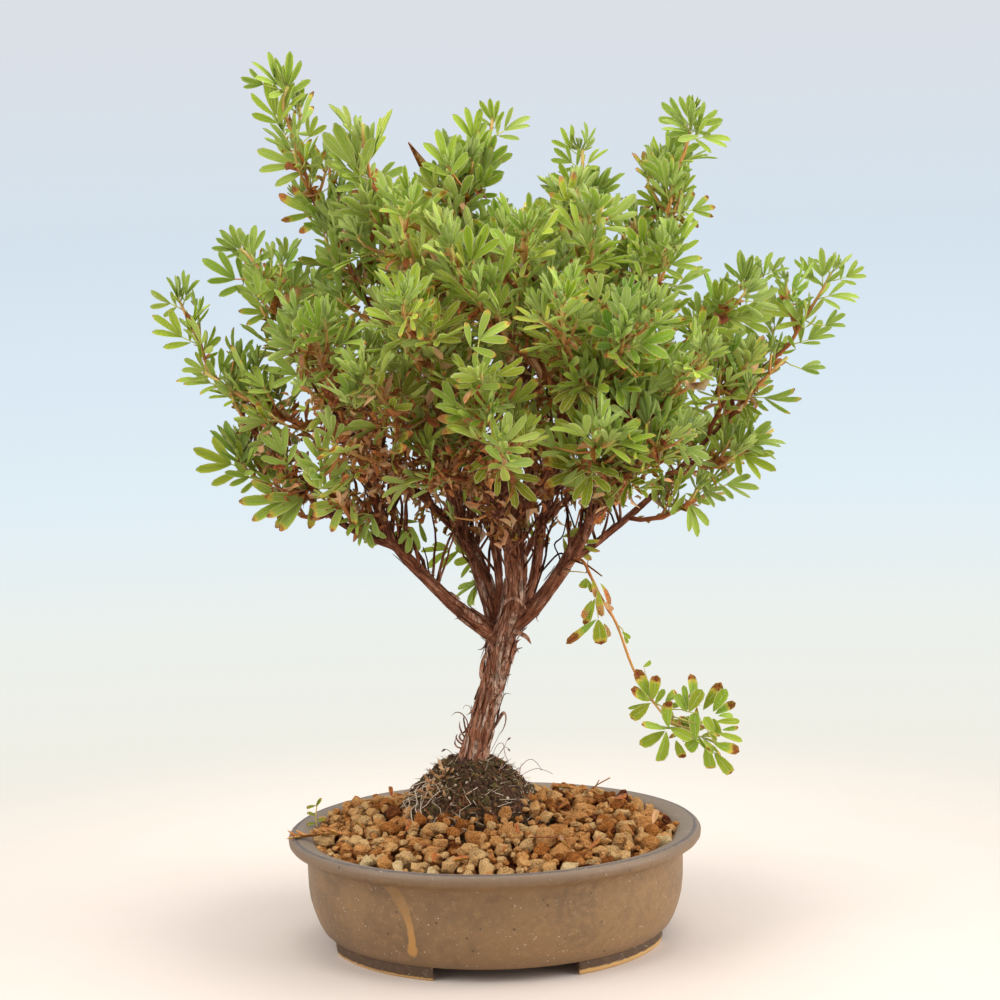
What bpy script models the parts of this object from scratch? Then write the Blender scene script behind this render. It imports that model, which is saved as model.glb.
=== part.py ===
"""Shrubby cinquefoil bonsai in a low oval pot, at real size: metres, +Z up, standing on z = 0.

A wheel-thrown oval pot on four feet holds a bed of baked-clay granules. The mossy root
mound stands in a plain hole in that bed, and the trunk stands in a plain hole in the mound.
The trunk forks into woody limbs, and every limb carries leafy shoots on short spurs.
"""

import math
import random

import bmesh
import bpy
from mathutils import Matrix, Vector
from mathutils.bvhtree import BVHTree

MM = 0.001
GAP = 0.3 * MM

# Pot
RIM_RADIUS = 85.0 * MM
OVAL = 156.0 / 170.0
POT_HEIGHT = 46.5 * MM
FOOT_HEIGHT = 5.5 * MM
FLOOR_TOP = 9.5 * MM
INNER_RADIUS = 72.0 * MM
POT_STEPS = 32
BASE_RADIUS = 71.4 * MM
FOOT_OUTER = 71.0 * MM
FOOT_INNER = 58.0 * MM
FRONT_FOOT_GAP = 57.0 * MM
SIDE_FOOT_GAP = 40.0 * MM
FOOT_TURN = math.radians(3.2)
DRAIN_RADIUS = 9.0 * MM
NET_SIDE = 26.0 * MM
NET_THICK = 0.9 * MM
NET_HOLE = 8.0 * MM

# Bed of granules
SOIL_EDGE = 42.5 * MM
SOIL_CROWN = 47.0 * MM
GRANULES = 46
GRANULE_RADIUS = 7.4 * MM
GRANULE_REACH = 62.0 * MM

# Root mound and trunk foot
MOUND_CENTRE = Vector((-9.4, 15.0, 0.0)) * MM
MOUND_TOP = 73.0 * MM
MOUND_SIDES = 16
TRUNK_HOLE = 7.2 * MM
TRUNK_FOOT = Vector((-9.8, 15.0, 52.0)) * MM

# Woody limbs: (x, y, z, radius) in millimetres from the pot's centre
LIMBS = {
    "trunk": [
        (-9.8, 15, 52, 6.6), (-8.1, 15, 74, 6.6), (-4.8, 14.6, 86, 6.1), (-1.5, 14, 98, 5.9),
        (2.4, 13, 110, 6.0), (5, 12, 122, 6.6), (8, 11, 131, 5.0),
    ],
    "leader": [
        (5, 12, 122, 5.0), (11.6, 8, 135, 4.3), (14.8, 5, 146, 4.0), (13.4, 3, 159, 3.7),
        (7.8, 2, 174, 3.4), (5.2, 3, 186, 3.0),
    ],
    "left": [
        (3, 12, 121, 3.6), (-8.9, 8, 131.6, 3.2), (-19.8, 2, 144.3, 2.9),
        (-36, -8, 164, 2.6), (-41, -11, 175, 2.3), (-52, -13, 210, 1.7),
    ],
    "left_low": [(-36, -8, 164, 2.0), (-53, -12, 172, 1.8), (-69, -12, 184, 1.6), (-81, -8, 199, 1.4)],
    "inner_left": [
        (3, 13, 124, 3.4), (-0.2, 18, 141, 2.9), (-5, 23, 155, 2.7), (-11, 28, 167, 2.4),
        (-18, 36, 196, 2.0), (-27, 42, 224, 1.5),
    ],
    "back_left": [(-8, 26, 161, 2.1), (-28, 42, 180, 1.8), (-48, 50, 200, 1.6), (-62, 52, 220, 1.4)],
    "right": [
        (8, 12, 124, 3.8), (20.5, 6, 135, 3.2), (34, -2, 157, 2.6),
        (43, -6, 174, 2.3), (52.5, -9, 200, 1.9), (61, -10, 228, 1.5),
    ],
    "right_low": [
        (33, -2, 155.5, 1.9), (47, 4, 164, 1.7), (69, 10, 181, 1.6), (89, 14, 200, 1.4), (103, 15, 214, 1.3),
    ],
    "right_front": [(43, -6, 174, 1.8), (56, -24, 190, 1.6), (66, -40, 208, 1.4)],
    "back": [
        (8, 14, 125, 3.0), (18, 25, 141, 2.5), (24, 41, 168, 2.1), (35, 60, 208, 1.5),
    ],
    "back_right": [(23.6, 40, 167, 1.8), (42, 54, 182, 1.6), (60, 60, 202, 1.4)],
    "rear": [(4, 14, 124, 2.8), (-3, 30, 142, 2.4), (-9, 47, 162, 2.0), (-14, 62, 184, 1.6)],
    "upper_left": [(7, 2, 176, 2.2), (-2, -4, 194, 1.9), (-12, -8, 214, 1.6), (-20, -10, 238, 1.4)],
    "upper_right": [(5.6, 2.5, 182, 2.2), (12, 6, 202, 1.9), (15, 8, 226, 1.6), (13, 9, 250, 1.4)],
    "front": [(12.6, 3, 157, 2.0), (6, -18, 173, 1.7), (0, -40, 188, 1.5), (-5, -58, 203, 1.4)],
    "front_right": [(9.2, 2, 168, 1.9), (20, -16, 186, 1.6), (29, -36, 205, 1.5), (36, -52, 224, 1.4)],
}
TRUNK_SIDES = 10
LIMB_SIDES = 6
TWIG_SIDES = 3
BARK_RIDGES = 5
BARK_DEPTH = 0.05

# Crown: tips of the shoots, in millimetres from the pot's centre
CROWN_CENTRE = Vector((8, 4, 232)) * MM
OUTLINE_TIPS = [
    (-74, -5, 347), (-42, -20, 325), (9, 10, 329), (44, 20, 320), (88, 5, 329), (68, 18, 303),
    (108, -14, 266), (141, 4, 266), (-118, 4, 262), (-93, 10, 284), (-104, 0, 208),
    (119, 14, 206), (98, 8, 181), (-90, -10, 187), (-61, -24, 186), (-14, 20, 314),
    (124, 6, 236), (-112, 2, 236),
]
FRONT_TIPS = [
    (8, -92, 212), (-57, -68, 212), (-43, -82, 238), (-10, -72, 284), (-30, -56, 300),
    (17, -56, 298), (48, -56, 300), (30, -90, 262), (58, -84, 254), (0, -98, 240),
    (44, -86, 216), (70, -68, 212), (84, -64, 242), (-28, -90, 262), (-70, -56, 258), (84, -42, 284),
]
BACK_TIPS = 13
BACK_SPREAD = (112.0, 92.0, 82.0)
SPUR_RADIUS = 1.3 * MM
SPUR_PROUD = 2.6 * MM
STEM_RADIUS = 1.1 * MM
STEM_TIP_RADIUS = 0.8 * MM
STEM_POINTS = 5
STEM_CLEAR = 1.4 * MM
CROWDING = 11.0 * MM
ROOT_CHOICES = 8
ROUTE_TRIES = 14
SPIRAL = math.radians(137.5)

# The long shoot that hangs over the pot's right side, in millimetres
HANGING_SPUR = (34, -2, 156)
HANGING_ROUTE = [
    (38.2, -8.6, 151.8), (42.4, -15, 147.6), (48.5, -24.5, 133.5), (53.5, -30, 124), (57.5, -34, 114),
    (64, -37, 104), (73, -39, 97.5), (84, -41, 95),
]
HANGING_LEAVES = (
    (4.0, (0.2, -0.3, 1.0)), (8.0, (-0.1, -0.5, -1.0)), (17.0, (0.3, 0.8, -0.6)),
    (26.0, (-0.6, -0.4, -0.9)), (70.0, (-0.8, -0.2, -0.6)), (82.0, (-0.4, -0.9, -0.5)),
)

# Compound leaves: five leaflets fan out from the end of each leaf stalk
LEAF_STALK = 6.5 * MM
STALK_HALF = 0.45 * MM
LEAFLET_LENGTH = 14.0 * MM
LEAFLET_WIDTH = 4.9 * MM
LEAF_THICK = 1.8 * MM
LEAFLET_ANGLES = (-98.0, -45.0, 0.0, 45.0, 98.0)
LEAFLET_SCALES = (0.78, 0.96, 1.08, 0.96, 0.78)
LEAFLET_SECTION = ((0.56, 1.0), (0.97, 0.4))
KEEL = 0.6
NOTCH = 1.9 * MM
LEAF_STEPS = (9.0, 20.0)
LEAF_MARGIN = 1.05

# The tuft of young leaflets that ends every shoot
TUFT_LEAFLETS = 7
TUFT_RISES = (0.45, 0.95)
TUFT_SCALES = (1.0, 0.86)

# The pot's centre lies off the middle of the whole plant's outline
POT_OFFSET = Vector((-11.7, -1.6, 0.0)) * MM

FINISHES = {
    "glaze": ((0.19, 0.14, 0.09), 0.45),
    "net": ((0.05, 0.05, 0.05), 0.6),
    "akadama": ((0.42, 0.24, 0.11), 0.95),
    "moss": ((0.06, 0.05, 0.035), 0.95),
    "bark": ((0.22, 0.10, 0.06), 0.85),
    "foliage": ((0.22, 0.38, 0.08), 0.6),
}


def clear_scene():
    """Empties the scene that the script starts in."""
    for obj in list(bpy.data.objects):
        bpy.data.objects.remove(obj)


def finish_material(name):
    """One Principled material of the named finish, made once and shared."""
    if name in bpy.data.materials:
        return bpy.data.materials[name]
    colour, roughness = FINISHES[name]
    material = bpy.data.materials.new(name)
    material.use_nodes = True
    shader = material.node_tree.nodes["Principled BSDF"]
    shader.inputs["Base Color"].default_value = (*colour, 1.0)
    shader.inputs["Roughness"].default_value = roughness
    return material


def collection_named(name):
    """A collection linked to the scene."""
    made = bpy.data.collections.new(name)
    bpy.context.scene.collection.children.link(made)
    return made


def object_from_bmesh(name, shape, collection):
    """A mesh object from a bmesh, with its normals pointing out."""
    bmesh.ops.recalc_face_normals(shape, faces=shape.faces)
    mesh = bpy.data.meshes.new(name)
    shape.to_mesh(mesh)
    shape.free()
    obj = bpy.data.objects.new(name, mesh)
    collection.objects.link(obj)
    return obj


def applied(obj):
    """Replaces an object's mesh by its evaluated one, and drops its modifiers."""
    graph = bpy.context.evaluated_depsgraph_get()
    mesh = bpy.data.meshes.new_from_object(obj.evaluated_get(graph))
    obj.modifiers.clear()
    obj.data = mesh
    return obj


def turned(name, profile, steps, collection):
    """A solid turned from (radius, height) points that start and end on the axis."""
    mesh = bpy.data.meshes.new(name)
    points = [(radius, 0.0, height) for radius, height in profile]
    mesh.from_pydata(points, [(i, i + 1) for i in range(len(points) - 1)], [])
    obj = bpy.data.objects.new(name, mesh)
    collection.objects.link(obj)
    screw = obj.modifiers.new("turn", "SCREW")
    screw.steps = screw.render_steps = steps
    screw.use_merge_vertices = True
    screw.merge_threshold = 0.00005
    applied(obj)
    shape = bmesh.new()
    shape.from_mesh(obj.data)
    bmesh.ops.remove_doubles(shape, verts=shape.verts, dist=0.00001)
    bmesh.ops.recalc_face_normals(shape, faces=shape.faces)
    shape.to_mesh(obj.data)
    shape.free()
    return obj


def boxed(name, size, centre, collection):
    """A box of that size about that centre."""
    shape = bmesh.new()
    bmesh.ops.create_cube(shape, size=1.0)
    bmesh.ops.scale(shape, vec=size, verts=shape.verts)
    bmesh.ops.translate(shape, vec=centre, verts=shape.verts)
    return object_from_bmesh(name, shape, collection)


def rounded_bar(name, start, end, radius, sides, collection):
    """A straight round bar between two points."""
    axis = end - start
    shape = bmesh.new()
    bmesh.ops.create_cone(
        shape, cap_ends=True, segments=sides, radius1=radius, radius2=radius, depth=axis.length
    )
    turn = axis.to_track_quat("Z", "Y").to_matrix().to_4x4()
    bmesh.ops.transform(shape, matrix=Matrix.Translation((start + end) / 2) @ turn, verts=shape.verts)
    return object_from_bmesh(name, shape, collection)


def tube(name, points, radii, sides, collection):
    """A tapered tube with this many sides along points, as a mesh with welded caps."""
    ring = bpy.data.curves.new(name + "_ring", "CURVE")
    around = ring.splines.new("POLY")
    around.points.add(sides - 1)
    around.use_cyclic_u = True
    for i, place in enumerate(around.points):
        angle = math.tau * (i + 0.5) / sides
        place.co = (math.cos(angle), math.sin(angle), 0.0, 1.0)
    section = bpy.data.objects.new(name + "_section", ring)
    collection.objects.link(section)
    curve = bpy.data.curves.new(name, "CURVE")
    curve.dimensions = "3D"
    curve.bevel_mode = "OBJECT"
    curve.bevel_object = section
    curve.use_fill_caps = True
    spline = curve.splines.new("POLY")
    spline.points.add(len(points) - 1)
    for place, point, radius in zip(spline.points, points, radii):
        place.co = (*point, 1.0)
        place.radius = radius
    guide = bpy.data.objects.new(name + "_route", curve)
    collection.objects.link(guide)
    graph = bpy.context.evaluated_depsgraph_get()
    mesh = bpy.data.meshes.new_from_object(guide.evaluated_get(graph))
    bpy.data.objects.remove(guide)
    bpy.data.objects.remove(section)
    shape = bmesh.new()
    shape.from_mesh(mesh)
    bmesh.ops.remove_doubles(shape, verts=shape.verts, dist=0.00001)
    return object_from_bmesh(name, shape, collection)


def boolean(obj, operation, others, solver="EXACT"):
    """Cuts or joins other objects into one, then removes them."""
    pile = collection_named("boolean_pile")
    for other in others:
        pile.objects.link(other)
    modifier = obj.modifiers.new(operation.lower(), "BOOLEAN")
    modifier.operation = operation
    modifier.operand_type = "COLLECTION"
    modifier.collection = pile
    modifier.solver = solver
    applied(obj)
    for other in others:
        bpy.data.objects.remove(other)
    bpy.data.collections.remove(pile)
    return obj


def finished(obj, finish, smooth=None):
    """Gives a node its material and, for a round piece, smooth shading up to an edge angle."""
    obj.data.materials.clear()
    obj.data.materials.append(finish_material(finish))
    if smooth is not None:
        obj.data.shade_smooth()
        obj.data.set_sharp_from_angle(angle=math.radians(smooth))
    return obj


def pot_profile():
    """The pot wall's section, from the floor's middle over the rim and down to the underside's middle."""
    return [
        (0.0, FLOOR_TOP),
        (0.9 * INNER_RADIUS, FLOOR_TOP),
        (INNER_RADIUS, FLOOR_TOP + 8.0 * MM),
        (INNER_RADIUS, POT_HEIGHT - 8.0 * MM),
        (INNER_RADIUS + 4.0 * MM, POT_HEIGHT - 1.4 * MM),
        (RIM_RADIUS - 2.6 * MM, POT_HEIGHT),
        (RIM_RADIUS, POT_HEIGHT - 1.8 * MM),
        (RIM_RADIUS - 0.5 * MM, POT_HEIGHT - 4.2 * MM),
        (RIM_RADIUS - 5.5 * MM, POT_HEIGHT - 6.8 * MM),
        (RIM_RADIUS - 7.6 * MM, POT_HEIGHT - 10.0 * MM),
        (RIM_RADIUS - 7.8 * MM, POT_HEIGHT - 22.0 * MM),
        (RIM_RADIUS - 9.6 * MM, FOOT_HEIGHT + 10.0 * MM),
        (BASE_RADIUS, FOOT_HEIGHT),
        (0.0, FOOT_HEIGHT),
    ]


def build_pot(parts, cutters):
    """The pot: a turned oval bowl joined to a foot ring that four gaps divide, with a drain hole."""
    pot = turned("pot", pot_profile(), POT_STEPS, parts)
    ring = turned(
        "foot_ring",
        [
            (0.0, FOOT_HEIGHT + 2.0 * MM),
            (FOOT_OUTER, FOOT_HEIGHT + 2.0 * MM),
            (FOOT_OUTER - 0.9 * MM, 0.0),
            (0.0, 0.0),
        ],
        POT_STEPS,
        cutters,
    )
    hollow = rounded_bar(
        "foot_hollow", Vector((0, 0, -0.01)), Vector((0, 0, 0.02)), FOOT_INNER, POT_STEPS, cutters
    )
    reach = 4.0 * RIM_RADIUS
    tall = 8.0 * FOOT_HEIGHT
    gaps = [
        boxed("front_gap", (FRONT_FOOT_GAP, reach, tall), (0, 0, 0), cutters),
        boxed("side_gap", (reach, SIDE_FOOT_GAP, tall), (0, 0, 0), cutters),
    ]
    boolean(ring, "DIFFERENCE", [hollow, *gaps], "MANIFOLD")
    ring.data.transform(Matrix.Rotation(FOOT_TURN, 4, "Z"))
    boolean(pot, "UNION", [ring], "MANIFOLD")
    drain = rounded_bar("drain", Vector((0, 0, -0.01)), Vector((0, 0, 0.03)), DRAIN_RADIUS, 16, cutters)
    boolean(pot, "DIFFERENCE", [drain], "MANIFOLD")
    pot.data.transform(Matrix.Diagonal((1.0, OVAL, 1.0, 1.0)))
    return finished(pot, "glaze", 35)


def build_drain_net(parts, cutters):
    """The plastic net that keeps the granules off the drain hole: a thin plate with four holes."""
    base = FLOOR_TOP + GAP
    net = boxed("drain_net", (NET_SIDE, NET_SIDE, NET_THICK), (0, 0, base + NET_THICK / 2), parts)
    pitch = NET_SIDE / 4.4
    holes = [
        boxed(f"net_hole_{i}_{j}", (NET_HOLE, NET_HOLE, 0.01), (i * pitch, j * pitch, base), cutters)
        for i in (-1, 1)
        for j in (-1, 1)
    ]
    boolean(net, "DIFFERENCE", holes)
    return finished(net, "net")


def mound_profile(margin):
    """The root mound's section, grown by a margin: root ball below the bed, cone above it."""
    return [
        (0.0, MOUND_TOP + margin),
        (10.0 * MM + margin, MOUND_TOP - 1.5 * MM + margin),
        (16.0 * MM + margin, 66.5 * MM + margin),
        (22.5 * MM + margin, 58.5 * MM + margin),
        (28.5 * MM + margin, 49.5 * MM),
        (30.0 * MM + margin, 40.0 * MM),
        (22.0 * MM + margin, 24.0 * MM - margin),
        (0.0, 23.0 * MM - margin),
    ]


def mound_body(name, margin, collection):
    """The mound as a turned solid whose radius swells and dips round it by a formula."""
    mound = turned(name, mound_profile(margin), MOUND_SIDES, collection)
    for vertex in mound.data.vertices:
        around = math.atan2(vertex.co.y, vertex.co.x)
        height = vertex.co.z / MOUND_TOP
        swell = 0.07 * math.sin(3 * around + 6 * height) + 0.05 * math.sin(7 * around - 9 * height)
        keep = 1.0 + swell * math.sin(math.pi * min(1.0, max(0.0, (height - 0.3) / 0.7)))
        vertex.co.x *= keep
        vertex.co.y *= keep * 0.95
    shape = bmesh.new()
    shape.from_mesh(mound.data)
    bmesh.ops.triangulate(shape, faces=shape.faces, quad_method="FIXED")
    bmesh.ops.translate(shape, vec=MOUND_CENTRE, verts=shape.verts)
    shape.to_mesh(mound.data)
    shape.free()
    return mound


def build_root_mound(parts, cutters):
    """The mossy mound of roots, with a plain hole for the trunk's foot."""
    mound = mound_body("root_mound", 0.0, parts)
    foot = TRUNK_FOOT - Vector((0, 0, GAP))
    along = (Vector(LIMBS["trunk"][1][:3]) * MM - TRUNK_FOOT).normalized()
    hole = rounded_bar("trunk_hole", foot, foot + along * 0.04, TRUNK_HOLE, 20, cutters)
    boolean(mound, "DIFFERENCE", [hole])
    return finished(mound, "moss", 50)


def granule(name, centre, draw, collection):
    """One baked-clay granule: an uneven twenty-sided stone."""
    shape = bmesh.new()
    bmesh.ops.create_icosphere(shape, subdivisions=1, radius=GRANULE_RADIUS)
    size = [draw.uniform(0.86, 1.16) for _ in range(3)]
    bmesh.ops.scale(shape, vec=size, verts=shape.verts)
    for vertex in shape.verts:
        vertex.co *= draw.uniform(0.84, 1.1)
    turn = Matrix.Rotation(draw.uniform(0, math.tau), 4, Vector((draw.random(), draw.random(), 1.0)))
    bmesh.ops.transform(shape, matrix=Matrix.Translation(centre) @ turn, verts=shape.verts)
    return object_from_bmesh(name, shape, collection)


def build_soil(parts, cutters):
    """The granule bed: a body that fills the pot, its top covered by granules set in a spiral."""
    bed = turned(
        "granule_bed",
        [
            (0.0, SOIL_CROWN),
            (0.6 * GRANULE_REACH, SOIL_CROWN - 1.6 * MM),
            (INNER_RADIUS - 0.5 * MM, SOIL_EDGE - 3.5 * MM),
            (INNER_RADIUS - 0.5 * MM, FLOOR_TOP + 8.3 * MM),
            (0.9 * INNER_RADIUS - 0.4 * MM, FLOOR_TOP + GAP),
            (0.0, FLOOR_TOP + GAP),
        ],
        POT_STEPS,
        parts,
    )
    draw = random.Random(11)
    stones = []
    for i in range(GRANULES):
        radius = GRANULE_REACH * math.sqrt((i + 0.5) / GRANULES)
        around = i * SPIRAL + draw.uniform(-0.12, 0.12)
        rise = SOIL_CROWN - (SOIL_CROWN - SOIL_EDGE) * (radius / GRANULE_REACH) ** 2
        centre = Vector((radius * math.cos(around), radius * math.sin(around), rise))
        centre.z += draw.uniform(-1.6, 0.8) * MM
        if (centre - MOUND_CENTRE).xy.length > 28.0 * MM:
            stones.append(granule(f"granule_{i}", centre, draw, cutters))
    boolean(bed, "UNION", stones, "MANIFOLD")
    bed.data.transform(Matrix.Diagonal((1.0, OVAL, 1.0, 1.0)))
    recess = NET_SIDE + 2 * GAP
    hollow = boxed("net_recess", (recess, recess, 2 * (NET_THICK + 2 * GAP)), (0, 0, FLOOR_TOP), cutters)
    boolean(bed, "DIFFERENCE", [mound_body("mound_hole", GAP * 1.6, cutters), hollow], "MANIFOLD")
    return finished(bed, "akadama")


def limb_points(name):
    """A limb's points, in metres."""
    return [Vector(row[:3]) * MM for row in LIMBS[name]]


def limb_radii(name):
    """A limb's radii, in metres."""
    return [row[3] * MM for row in LIMBS[name]]


def walked(points, values, step):
    """(point, value, direction) every step or less along a polyline."""
    found = []
    for a, b, u, v in zip(points, points[1:], values, values[1:]):
        count = max(1, math.ceil((b - a).length / step))
        for i in range(count):
            share = i / count
            found.append((a.lerp(b, share), u + (v - u) * share, (b - a).normalized()))
    found.append((points[-1], values[-1], (points[-1] - points[-2]).normalized()))
    return found


def back_tips():
    """Tips on the crown's far side, spread by the golden angle over a half ellipsoid."""
    tips = []
    for i in range(BACK_TIPS):
        rise = -0.42 + 1.32 * (i + 0.5) / BACK_TIPS
        around = math.radians(22.0) + math.radians(136.0) * ((i * 0.618034) % 1.0)
        level = math.sqrt(max(0.0, 1.0 - rise * rise))
        tips.append(
            (
                8.0 + BACK_SPREAD[0] * level * math.cos(around),
                8.0 + BACK_SPREAD[1] * level * math.sin(around),
                232.0 + BACK_SPREAD[2] * rise,
            )
        )
    return tips


def likely_roots(tip, taken):
    """Limb points that a shoot with this tip could grow from, best first: near, lower, not crowded."""
    found = []
    for name in LIMBS:
        if name == "trunk":
            continue
        rows = walked(limb_points(name), limb_radii(name), 5.0 * MM)
        for point, radius, along in rows[len(rows) // 3 :]:
            if tip.z - point.z < 6.0 * MM:
                continue
            crowd = sum(max(0.0, CROWDING - (point - other).length) for other in taken)
            lean = 1.0 - along.dot((tip - point).normalized())
            score = (tip - point).length * (1.0 + 0.25 * lean) + 5.0 * crowd
            found.append((score, point, radius, along))
    found.sort(key=lambda row: row[0])
    return [row[1:] for row in found[: 3 * ROOT_CHOICES : 3]]


def bezier(controls, count):
    """Points along a cubic with these four control points."""
    a, b, c, d = controls
    found = []
    for i in range(count):
        t = i / (count - 1)
        s = 1.0 - t
        found.append(a * s**3 + b * (3 * s * s * t) + c * (3 * s * t * t) + d * t**3)
    return found


def clearance(route, others):
    """Smallest distance from a route's points to other routes' points, less both radii."""
    least = 1.0
    for point, radius, _ in route:
        for other, other_radius, _ in others:
            least = min(least, (point - other).length - radius - other_radius)
    return least


def tip_heading(tip):
    """The way a shoot points at its tip: out from the crown, and up."""
    out = (tip - CROWN_CENTRE).normalized()
    lift = 0.75 if tip.z > 0.2 else 0.25
    return (out + Vector((0, 0, lift))).normalized()


def routes_from(root, radius, along, tip):
    """Candidate routes from one limb point to a tip, each bowed a different way: (spur end, points)."""
    toward = (tip - root).normalized()
    outward = (toward - along * toward.dot(along)).normalized()
    leave = (outward * 0.8 + toward * 0.5 + along * 0.2).normalized()
    spur_end = root + leave * ((radius + SPUR_PROUD) / leave.dot(outward))
    start = spur_end + leave * GAP
    reach = (tip - start).length
    side = leave.cross(Vector((0.3, 0.1, 1.0))).normalized()
    for attempt in range(ROUTE_TRIES):
        bow = side.copy()
        bow.rotate(Matrix.Rotation(attempt * 2.4, 3, toward))
        bow *= attempt * 2.0 * MM
        controls = (
            start,
            start + leave * 0.36 * reach + bow,
            tip - tip_heading(tip) * 0.34 * reach + bow,
            tip,
        )
        yield spur_end, bezier(controls, STEM_POINTS)


def shoot_routes():
    """Every upright shoot as (spur start, spur end, route points), rooted and bowed to clear the others."""
    tips = [Vector(tip) * MM for tip in OUTLINE_TIPS + FRONT_TIPS + back_tips()]
    wood = []
    for name in LIMBS:
        wood += walked(limb_points(name), limb_radii(name), 4.0 * MM)
    hanging = [Vector(p) * MM for p in [HANGING_SPUR, *HANGING_ROUTE]]
    placed = walked(hanging, [STEM_RADIUS] * len(hanging), 3.0 * MM)
    taken, shoots = [], []
    for tip in tips:
        best = None
        for root, radius, along in likely_roots(tip, taken):
            for spur_end, route in routes_from(root, radius, along, tip):
                rows = walked(route, [STEM_RADIUS] * STEM_POINTS, 3.0 * MM)
                own = [row for row in wood if (row[0] - root).length > 9.0 * MM]
                room = min(clearance(rows, placed), clearance(rows, own))
                if best is None or room > best[0]:
                    best = (room, root, spur_end, route, rows)
                if room > STEM_CLEAR:
                    break
            if best[0] > STEM_CLEAR:
                break
        _, root, spur_end, route, rows = best
        taken.append(root)
        placed += rows
        shoots.append((root, spur_end, route))
    return shoots


def build_trunk(shoots, parts, cutters):
    """The trunk, its limbs and a spur under every shoot, joined in one woody piece."""
    trunk = tube("trunk", limb_points("trunk"), limb_radii("trunk"), TRUNK_SIDES, parts)
    for vertex in trunk.data.vertices:
        if vertex.co.z > 0.075:
            axis = Vector((0.33, -0.08, 1.0))
            centre = Vector(LIMBS["trunk"][1][:3]) * MM + axis * (vertex.co.z - 0.072)
            off = (vertex.co - centre).xy
            wave = 1.0 + BARK_DEPTH * math.sin(BARK_RIDGES * math.atan2(off.y, off.x) + 60 * vertex.co.z)
            vertex.co.x = centre.x + off.x * wave
            vertex.co.y = centre.y + off.y * wave
    joined = [
        tube(name, limb_points(name), limb_radii(name), LIMB_SIDES, cutters)
        for name in LIMBS
        if name != "trunk"
    ]
    ends = [(root, end) for root, end, _ in shoots]
    joined += [
        tube(f"spur_{i}", [root, end], [SPUR_RADIUS, SPUR_RADIUS], TWIG_SIDES, cutters)
        for i, (root, end) in enumerate(ends)
    ]
    boolean(trunk, "UNION", joined, "MANIFOLD")
    return finished(trunk, "bark", 60)


def leaflet_rim(centre, angle, rise, scale):
    """Rim points of one blunt, keeled leaflet, up its right side and down its left."""
    level = math.cos(rise)
    along = Vector((math.cos(angle) * level, math.sin(angle) * level, math.sin(rise)))
    across = Vector((-math.sin(angle), math.cos(angle), 0.0))
    upward = along.cross(across)
    half = LEAFLET_WIDTH * scale / 2
    rim = []
    for side, section in ((-1, LEAFLET_SECTION), (1, LEAFLET_SECTION[::-1])):
        for reach, width in section:
            spread = half * width
            forward = along * (LEAFLET_LENGTH * scale * reach)
            rim.append(centre + forward + across * (side * spread) + upward * (spread * KEEL))
    return rim


def fan_rim(shape, centre, angles, rises, scales, closed):
    """New vertices round a fan of leaflets, with a notch between neighbours."""
    rim = []
    count = len(angles)
    for i in range(count):
        rim += [shape.verts.new(v) for v in leaflet_rim(centre, angles[i], rises[i], scales[i])]
        if i + 1 < count or closed:
            j = (i + 1) % count
            between = (angles[i] + angles[j] + (math.tau if j == 0 else 0.0)) / 2
            rise = (rises[i] + rises[j]) / 2
            level = math.cos(rise)
            out = Vector((math.cos(between) * level, math.sin(between) * level, math.sin(rise)))
            rim.append(shape.verts.new(centre + out * NOTCH))
    return rim


def leaf_shape(size, place):
    """A compound leaf as one closed bmesh: stalk along +X, five keeled leaflets round its end."""
    shape = bmesh.new()
    centre = Vector((LEAF_STALK * size, 0.0, 0.0))
    half = STALK_HALF
    root = [shape.verts.new(v) for v in ((0, -half, -half / 2), (0, 0, half), (0, half, -half / 2))]
    top = shape.verts.new(centre + Vector((0, 0, LEAF_THICK / 2)))
    low = shape.verts.new(centre - Vector((0, 0, LEAF_THICK / 2)))
    back = Vector((-0.5 * MM, 0.0, 0.0))
    rim = [shape.verts.new(centre + back + Vector((0, -2.2 * half, 0)))]
    angles = [math.radians(a) for a in LEAFLET_ANGLES]
    scales = [scale * size for scale in LEAFLET_SCALES]
    rim += fan_rim(shape, centre, angles, [0.0] * len(angles), scales, False)
    rim.append(shape.verts.new(centre + back + Vector((0, 2.2 * half, 0))))
    for a, b in zip(rim, rim[1:]):
        shape.faces.new((top, a, b))
        shape.faces.new((low, b, a))
    shape.faces.new((root[0], root[1], top, rim[0]))
    shape.faces.new((root[1], root[2], rim[-1], top))
    shape.faces.new((root[2], root[0], low, rim[-1]))
    shape.faces.new((root[0], rim[0], low))
    shape.faces.new(list(reversed(root)))
    bmesh.ops.triangulate(shape, faces=shape.faces)
    bmesh.ops.transform(shape, matrix=place, verts=shape.verts)
    bmesh.ops.recalc_face_normals(shape, faces=shape.faces)
    return shape


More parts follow.
